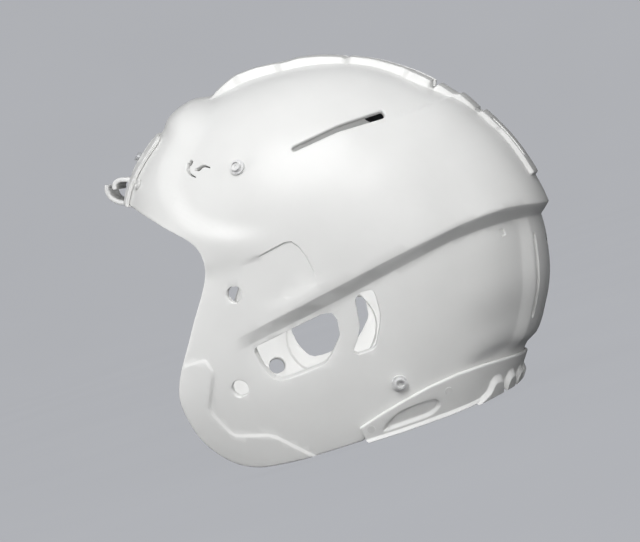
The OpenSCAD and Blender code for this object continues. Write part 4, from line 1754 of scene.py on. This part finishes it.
@dataclass(frozen=True)
class FlushScrews:
    """Flat white heads sunk almost flush in the edge strip, in millimetres."""

    radius: float = 3.0
    rounding: float = 0.3
    thick: float = 1.2
    proud: float = 0.2
    segments: int = 32
    places: tuple[Pair, ...] = ((-9.0, 9.0), (50.0, 18.0))

    def build(self, material: Material) -> Object:
        """Model the heads.

        Args:
            material: Their finish.

        Returns:
            The four heads as one piece.
        """
        mesh = bmesh.new()
        for (y, z), side in itertools.product(self.places, (1.0, -1.0)):
            point, way = FORM.beside(y, z, float(FORM.flare(y)) - Bumper.thick)
            axis = Vector((side * way.x, way.y, way.z))
            middle = Vector((side * point.x, point.y, point.z)) + axis * (self.proud - self.thick / 2)
            bmesh.ops.create_cone(
                mesh, cap_ends=True, segments=self.segments, radius1=self.radius * METRE,
                radius2=(self.radius - self.rounding) * METRE, depth=self.thick * METRE,
                matrix=facing(middle, axis),
            )  # fmt: skip
        piece = make_object("rear_bumper_heads", mesh, material)
        return settle(piece, "screw_white", "rear_bumper_screws")


@dataclass(frozen=True, kw_only=True)
class Pad:
    """Thermoformed pad: crowned pods with channels between them, in millimetres and degrees."""

    name: str
    thick: float
    low: bool = False
    in_brow: bool = False
    brow_edge: Pair = (6.0, 18.0)
    top: float = -6.0
    edge: float = 6.5
    edge_share: float = 1.24
    crown_edge: Pair = (0.0, 16.0)
    crown_low: float = 0.8
    groove: float = 0.42
    groove_edge: Pair = (0.8, 5.8)
    cells: int = 80
    margin: float = 6.0
    fine: float = 2.4
    channel_fine: float = 1.9
    first_line: float = 0.5
    sharp: float = 60.0

    def depth(self, spot: Spot) -> Array:
        """Return how far spots lie inside the pad's outline."""
        raise NotImplementedError

    def channel(self, spot: Spot) -> Array:
        """Return the distance of spots from the nearest channel between two pods."""
        raise NotImplementedError

    def height(self, spot: Spot) -> Array:
        """Work out the height over the form of the face on the shell's side.

        Args:
            spot: Spots on the form.

        Returns:
            The height of each spot.
        """
        bulge = SHELL.brow.bulge if self.in_brow else 0.0
        rise = bulge * fade(SHELL.brow.outline.depth(spot), self.brow_edge)
        return self.top + rise - (FORM.flare(spot.y) if self.low else 0.0)

    def inner(self, spot: Spot) -> Array:
        """Return the height over the form of the face on the wearer's side.

        Args:
            spot: Spots on the form.

        Returns:
            The height of each spot.
        """
        height = self.height(spot)
        inside = self.depth(FORM.raised(spot, height))
        swell = self.crown_low + (1.0 - self.crown_low) * fade(inside, self.crown_edge)
        groove = self.groove * (1 - fade(self.channel(spot), self.groove_edge))
        return height - self.thick * (swell - groove)

    def form(self, both_sides: bool) -> Mesh:
        """Shape the pad's closed mesh.

        Args:
            both_sides: Whether the right half is made too.

        Returns:
            The mesh in metres.
        """
        patch = Patch(self.height, self.cells)
        patch.crop(self.depth, self.margin)
        patch.refine(self.channel, self.edge, self.channel_fine, cut=False)
        patch.trim(self.depth, self.edge / 2, self.fine)
        patch.score(self.depth, (self.first_line, self.edge), cut=True)
        return patch.solid(self.height, self.inner, self.edge_share, both_sides)

    def cover(self, node: str, slot: str, mesh: Mesh, material: Material) -> Object:
        """Make the finished pad from its mesh.

        Args:
            node: CAD node that it replaces.
            slot: Material slot of the record.
            mesh: The closed mesh.
            material: Its finish.

        Returns:
            The finished pad.
        """
        piece = make_object(f"{node}_cushion", mesh, material, self.sharp)
        return settle(piece, slot, node)


@dataclass(frozen=True, kw_only=True)
class HeadPad(Pad):
    """Pad across the head, with channels along it and across it."""

    rings: Pair
    half_cross: float
    columns: tuple[float, ...]
    rows: tuple[float, ...] = ()
    corner: float = 14.0

    def ring_mm(self) -> float:
        """Return the millimetres of one degree along the ring."""
        return float(FORM.middle(np.array([sum(self.rings) / 2]))[0]) * math.pi / 180

    def depth(self, spot: Spot) -> Array:
        """Measure how far spots lie inside the pad's outline.

        Args:
            spot: Spots on the form.

        Returns:
            The depth of each spot, negative outside.
        """
        scale = self.ring_mm()
        along = (spot.ring - sum(self.rings) / 2) * scale
        half = ((self.rings[1] - self.rings[0]) / 2 * scale, self.half_cross * scale)
        return rounded_box(along, spot.cross * scale, half, self.corner)

    def channel(self, spot: Spot) -> Array:
        """Return the distance of spots from the nearest channel between two pods."""
        lines = [spot.cross - column for column in self.columns] + [spot.ring - row for row in self.rows]
        return np.min(np.abs(lines), axis=0) * self.ring_mm()

    def build(self, materials: dict[str, Material]) -> Object:
        """Return the finished pad."""
        return self.cover(self.name, "liner_vinyl", self.form(True), materials["liner_vinyl"])


@dataclass(frozen=True, kw_only=True)
class FlankPad(Pad):
    """Pair of pads on the flanks, whose channels are each a Y at mid height and a slant."""

    slot: str
    outline: Outline
    channels: tuple[Pair, ...]

    def depth(self, spot: Spot) -> Array:
        """Return how far spots lie inside the pad's outline."""
        return self.outline.depth(spot)

    def channel(self, spot: Spot) -> Array:
        """Return the distance of spots from the nearest channel between two pods."""
        gaps = [np.abs(spot.y - y - (spot.z - FORM.ear_z) * slant) for y, slant in self.channels]
        return np.min(gaps, axis=0)

    def build(self, materials: dict[str, Material]) -> list[Object]:
        """Model both pads.

        Args:
            materials: The finishes, by slot.

        Returns:
            The right and the left pad.
        """
        left = self.form(False)
        sides = (("right", mirrored(left)), ("left", left))
        material = materials[self.slot]
        return [self.cover(f"{side}_{self.name}", self.slot, mesh, material) for side, mesh in sides]


@dataclass(frozen=True)
class Lamp:
    """Square lamp that looks at the helmet, in millimetres and watts.

    Its way is the direction from the helmet, along the camera's right, up and back.
    """

    name: str
    way: Triple
    distance: float
    size: float
    power: float


@dataclass(frozen=True)
class Studio:
    """Camera, lamps and the bowl-shaped backdrop, in millimetres and degrees."""

    target: Triple = (0.0, -21.0, 124.0)
    azimuth: float = 96.9
    elevation: float = 0.6
    roll: float = 17.7
    distance: float = 2600.0
    lens: float = 202.4
    sensor: float = 36.0
    far_clip: float = 100000.0
    lamps: tuple[Lamp, ...] = (
        Lamp("key", (-0.3, 0.75, 1.0), 2200.0, 1400.0, 32.0),
        Lamp("front", (0.15, 0.1, 1.0), 3000.0, 1600.0, 20.5),
        Lamp("rear", (1.0, 0.2, 0.7), 2600.0, 1600.0, 24.0),
        Lamp("opening", (-1.0, -0.2, 0.15), 1600.0, 700.0, 8.0),
    )
    fill_at: Triple = (55.0, -30.0, 75.0)
    fill_size: float = 110.0
    fill_power: float = 0.19
    floor_r: float = 5200.0
    floor_z: float = -0.3
    bend_r: float = 1600.0
    bend_steps: int = 12
    wall_h: float = 4200.0
    turn_steps: int = 72
    fibre_mm: float = 400.0
    paper_tones: tuple[str, str] = ("#bfc1c6", "#c3c5ca")
    paper_matte: str = "#44464a"
    paper_glow: float = 0.8
    sky: str = "#e8eaee"
    sky_power: float = 0.36

    def axes(self) -> tuple[Vector, Vector, Vector]:
        """Work out the camera's directions.

        Returns:
            Its right, up and back directions.
        """
        a, e = math.radians(self.azimuth), math.radians(self.elevation)
        back = Vector((math.sin(a) * math.cos(e), -math.cos(a) * math.cos(e), math.sin(e)))
        level = Vector((math.cos(a), math.sin(a), 0.0))
        turn = Matrix.Rotation(math.radians(-self.roll), 3, back)
        return turn @ level, turn @ back.cross(level), back

    def camera(self) -> None:
        """Make the camera at the photo's viewing angle."""
        right, up, back = self.axes()
        data = bpy.data.cameras.new("camera")
        data.lens = self.lens
        data.sensor_width = self.sensor
        data.clip_end = self.far_clip * METRE
        camera = link("camera", data)
        turn = Matrix((right, up, back)).transposed()
        place = (Vector(self.target) + back * self.distance) * METRE
        camera.matrix_world = Matrix.Translation(place) @ turn.to_4x4()
        bpy.context.scene.camera = camera

    def lamp(self, name: str, point: Vector, way: Vector, size: float, power: float) -> Object:
        """Add a square lamp.

        Args:
            name: Name of the lamp.
            point: Its place in millimetres.
            way: Direction from what it lights to the lamp.
            size: Edge of the lamp in millimetres.
            power: Power in watts.

        Returns:
            The lamp.
        """
        data = bpy.data.lights.new(name, "AREA")
        data.size = size * METRE
        data.energy = power
        lamp = link(name, data)
        lamp.matrix_world = facing(point, way)
        lamp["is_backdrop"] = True
        return lamp

    def light(self) -> None:
        """Add the lamps, with a small soft one in the head space that lights the far wall's inside."""
        right, up, back = self.axes()
        for lamp in self.lamps:
            way = (right * lamp.way[0] + up * lamp.way[1] + back * lamp.way[2]).normalized()
            self.lamp(lamp.name, Vector(self.target) + way * lamp.distance, way, lamp.size, lamp.power)
        across = Vector((1.0, 0.0, 0.0))
        fill = self.lamp("fill", Vector(self.fill_at), across, self.fill_size, self.fill_power)
        fill.visible_camera = False

    def backdrop(self) -> None:
        """Make the floor with its wall curved up all round."""
        line = [(0.0, 0.0), (self.floor_r / 2, 0.0), (self.floor_r, 0.0)]
        for step in range(1, self.bend_steps + 1):
            turn = math.radians(90 * step / self.bend_steps)
            line.append((self.floor_r + self.bend_r * math.sin(turn), self.bend_r * (1 - math.cos(turn))))
        line.append((self.floor_r + self.bend_r, self.wall_h))
        mesh = lathe([(radius, height + self.floor_z) for radius, height in line], self.turn_steps)
        floor = make_object("floor", mesh, self.paper())
        floor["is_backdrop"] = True

    def paper(self) -> Material:
        """Make the pale matte paper of the backdrop, which gives off little light of its own.

        Returns:
            The paper's material.
        """
        material, place = start_material("backdrop_paper")
        tree = material.node_tree
        fibre = {"Vector": place, "Scale": 1 / (self.fibre_mm * METRE), "Detail": 3.0}
        fibres = add_node(tree, "ShaderNodeTexNoise", fibre).outputs["Fac"]
        tone = blend(tree, fibres, self.paper_tones, (0.0, 1.0))
        seen = add_node(tree, "ShaderNodeLightPath").outputs["Is Camera Ray"]
        even = add_node(tree, "ShaderNodeMath", {0: seen, 1: self.paper_glow}, operation="MULTIPLY")
        matte = add_node(tree, "ShaderNodeBsdfDiffuse", {"Color": linear(self.paper_matte), "Roughness": 0.6})
        glow = add_node(tree, "ShaderNodeEmission", {"Color": tone.outputs["Color"]})
        mix = {0: even.outputs["Value"], 1: matte.outputs["BSDF"], 2: glow.outputs["Emission"]}
        paper = add_node(tree, "ShaderNodeMixShader", mix)
        add_node(tree, "ShaderNodeOutputMaterial", {"Surface": paper.outputs["Shader"]})
        return material

    def build(self) -> None:
        """Set up the whole studio."""
        self.camera()
        self.backdrop()
        self.light()
        world = bpy.data.worlds.new("world")
        world.use_nodes = True
        background = world.node_tree.nodes["Background"]
        background.inputs["Color"].default_value = linear(self.sky)
        background.inputs["Strength"].default_value = self.sky_power
        bpy.context.scene.world = world
        bpy.context.scene.view_settings.view_transform = "Standard"


@dataclass(frozen=True)
class Helmet:
    """The whole helmet, built in order from the shell inwards."""

    frame: dict
    pads: tuple[Pad, ...] = (
        HeadPad(
            name="front_pad", rings=(124, 152), half_cross=44, thick=18, columns=(0, 15, 30), in_brow=True
        ),
        HeadPad(name="crown_pad", rings=(64, 116), half_cross=34, thick=19, columns=(11.5,), rows=(81, 99)),
        HeadPad(name="back_pad", rings=(25, 57), half_cross=38, thick=19, columns=(13,), rows=(41,)),
        HeadPad(name="nape_pad", rings=(-40, -12), half_cross=40, thick=14, columns=(0, 14, 27), low=True),
        FlankPad(
            name="side_pad",
            slot="liner_vinyl",
            outline=Outline(((-54, 126), (62, 126), (58, 192), (-54, 192)), 14.0),
            thick=19.0,
            channels=((-16, 0.1), (22, -0.05)),
        ),
        FlankPad(
            name="jaw_pad",
            slot="jaw_vinyl",
            outline=Outline(((-84, 10), (-30, 10), (-24, 44), (-112, 48)), 10.0),
            thick=20.0,
            channels=((-70, 0.1),),
            low=True,
        ),
    )
    steel: tuple[str, ...] = ("clip_screws", "snap_tee_nuts", "jaw_pad_studs")
    snaps: tuple[str, ...] = (
        "upper_snap_left", "upper_snap_right", "lower_snap_left", "lower_snap_right", "snap_screws",
    )  # fmt: skip

    def dress(self, names: Sequence[str], material: Material) -> None:
        """Give nodes that are kept from the frame their material.

        Args:
            names: Nodes that share the material.
            material: The material.
        """
        for name in names:
            slots = self.frame["nodes"][name].data.materials
            for i in range(len(slots)):
                slots[i] = material
            if not len(slots):
                slots.append(material)
            LOG.info("%s: kept from the frame", name)

    def build(self) -> None:
        """Build every piece and dress the nodes that are kept."""
        SHELL.build(SHELL_GLOSS.build())
        trim = TRIM_WHITE.build()
        BrowPlate().build(trim)
        Clip().build(CLIP_WHITE.build())
        Bumper().build(trim)
        screws = SCREW_WHITE.build()
        FlushScrews().build(screws)
        vinyl = {"liner_vinyl": LINER_VINYL.build(), "jaw_vinyl": JAW_VINYL.build()}
        for pad in self.pads:
            pad.build(vinyl)
        self.dress(self.steel, SCREW_STEEL.build())
        self.dress(("brow_screws",), screws)
        self.dress(self.snaps, SNAP_METAL.build())
        self.dress(("liner_fasteners",), FASTENER_FABRIC.build())
        rubber = VALVE_RUBBER.build()
        self.dress(("crown_valve",), rubber)
        NapeValve().build(rubber)


def corners(box: tuple[Vector, Vector]) -> list[list[float]]:
    """Return a box as two plain lists of numbers."""
    return [[float(value) for value in corner] for corner in box]


def main() -> None:
    """Load the frame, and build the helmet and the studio."""
    logging.basicConfig(level=logging.INFO, format="%(message)s")
    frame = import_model()
    sizes = {"cad": corners(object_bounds())}
    Helmet(frame).build()
    Studio().build()
    sizes["visual"] = corners(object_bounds())
    for name, (low, high) in sizes.items():
        LOG.info("%s box: %s to %s", name, low, high)


if __name__ == "__main__":
    main()
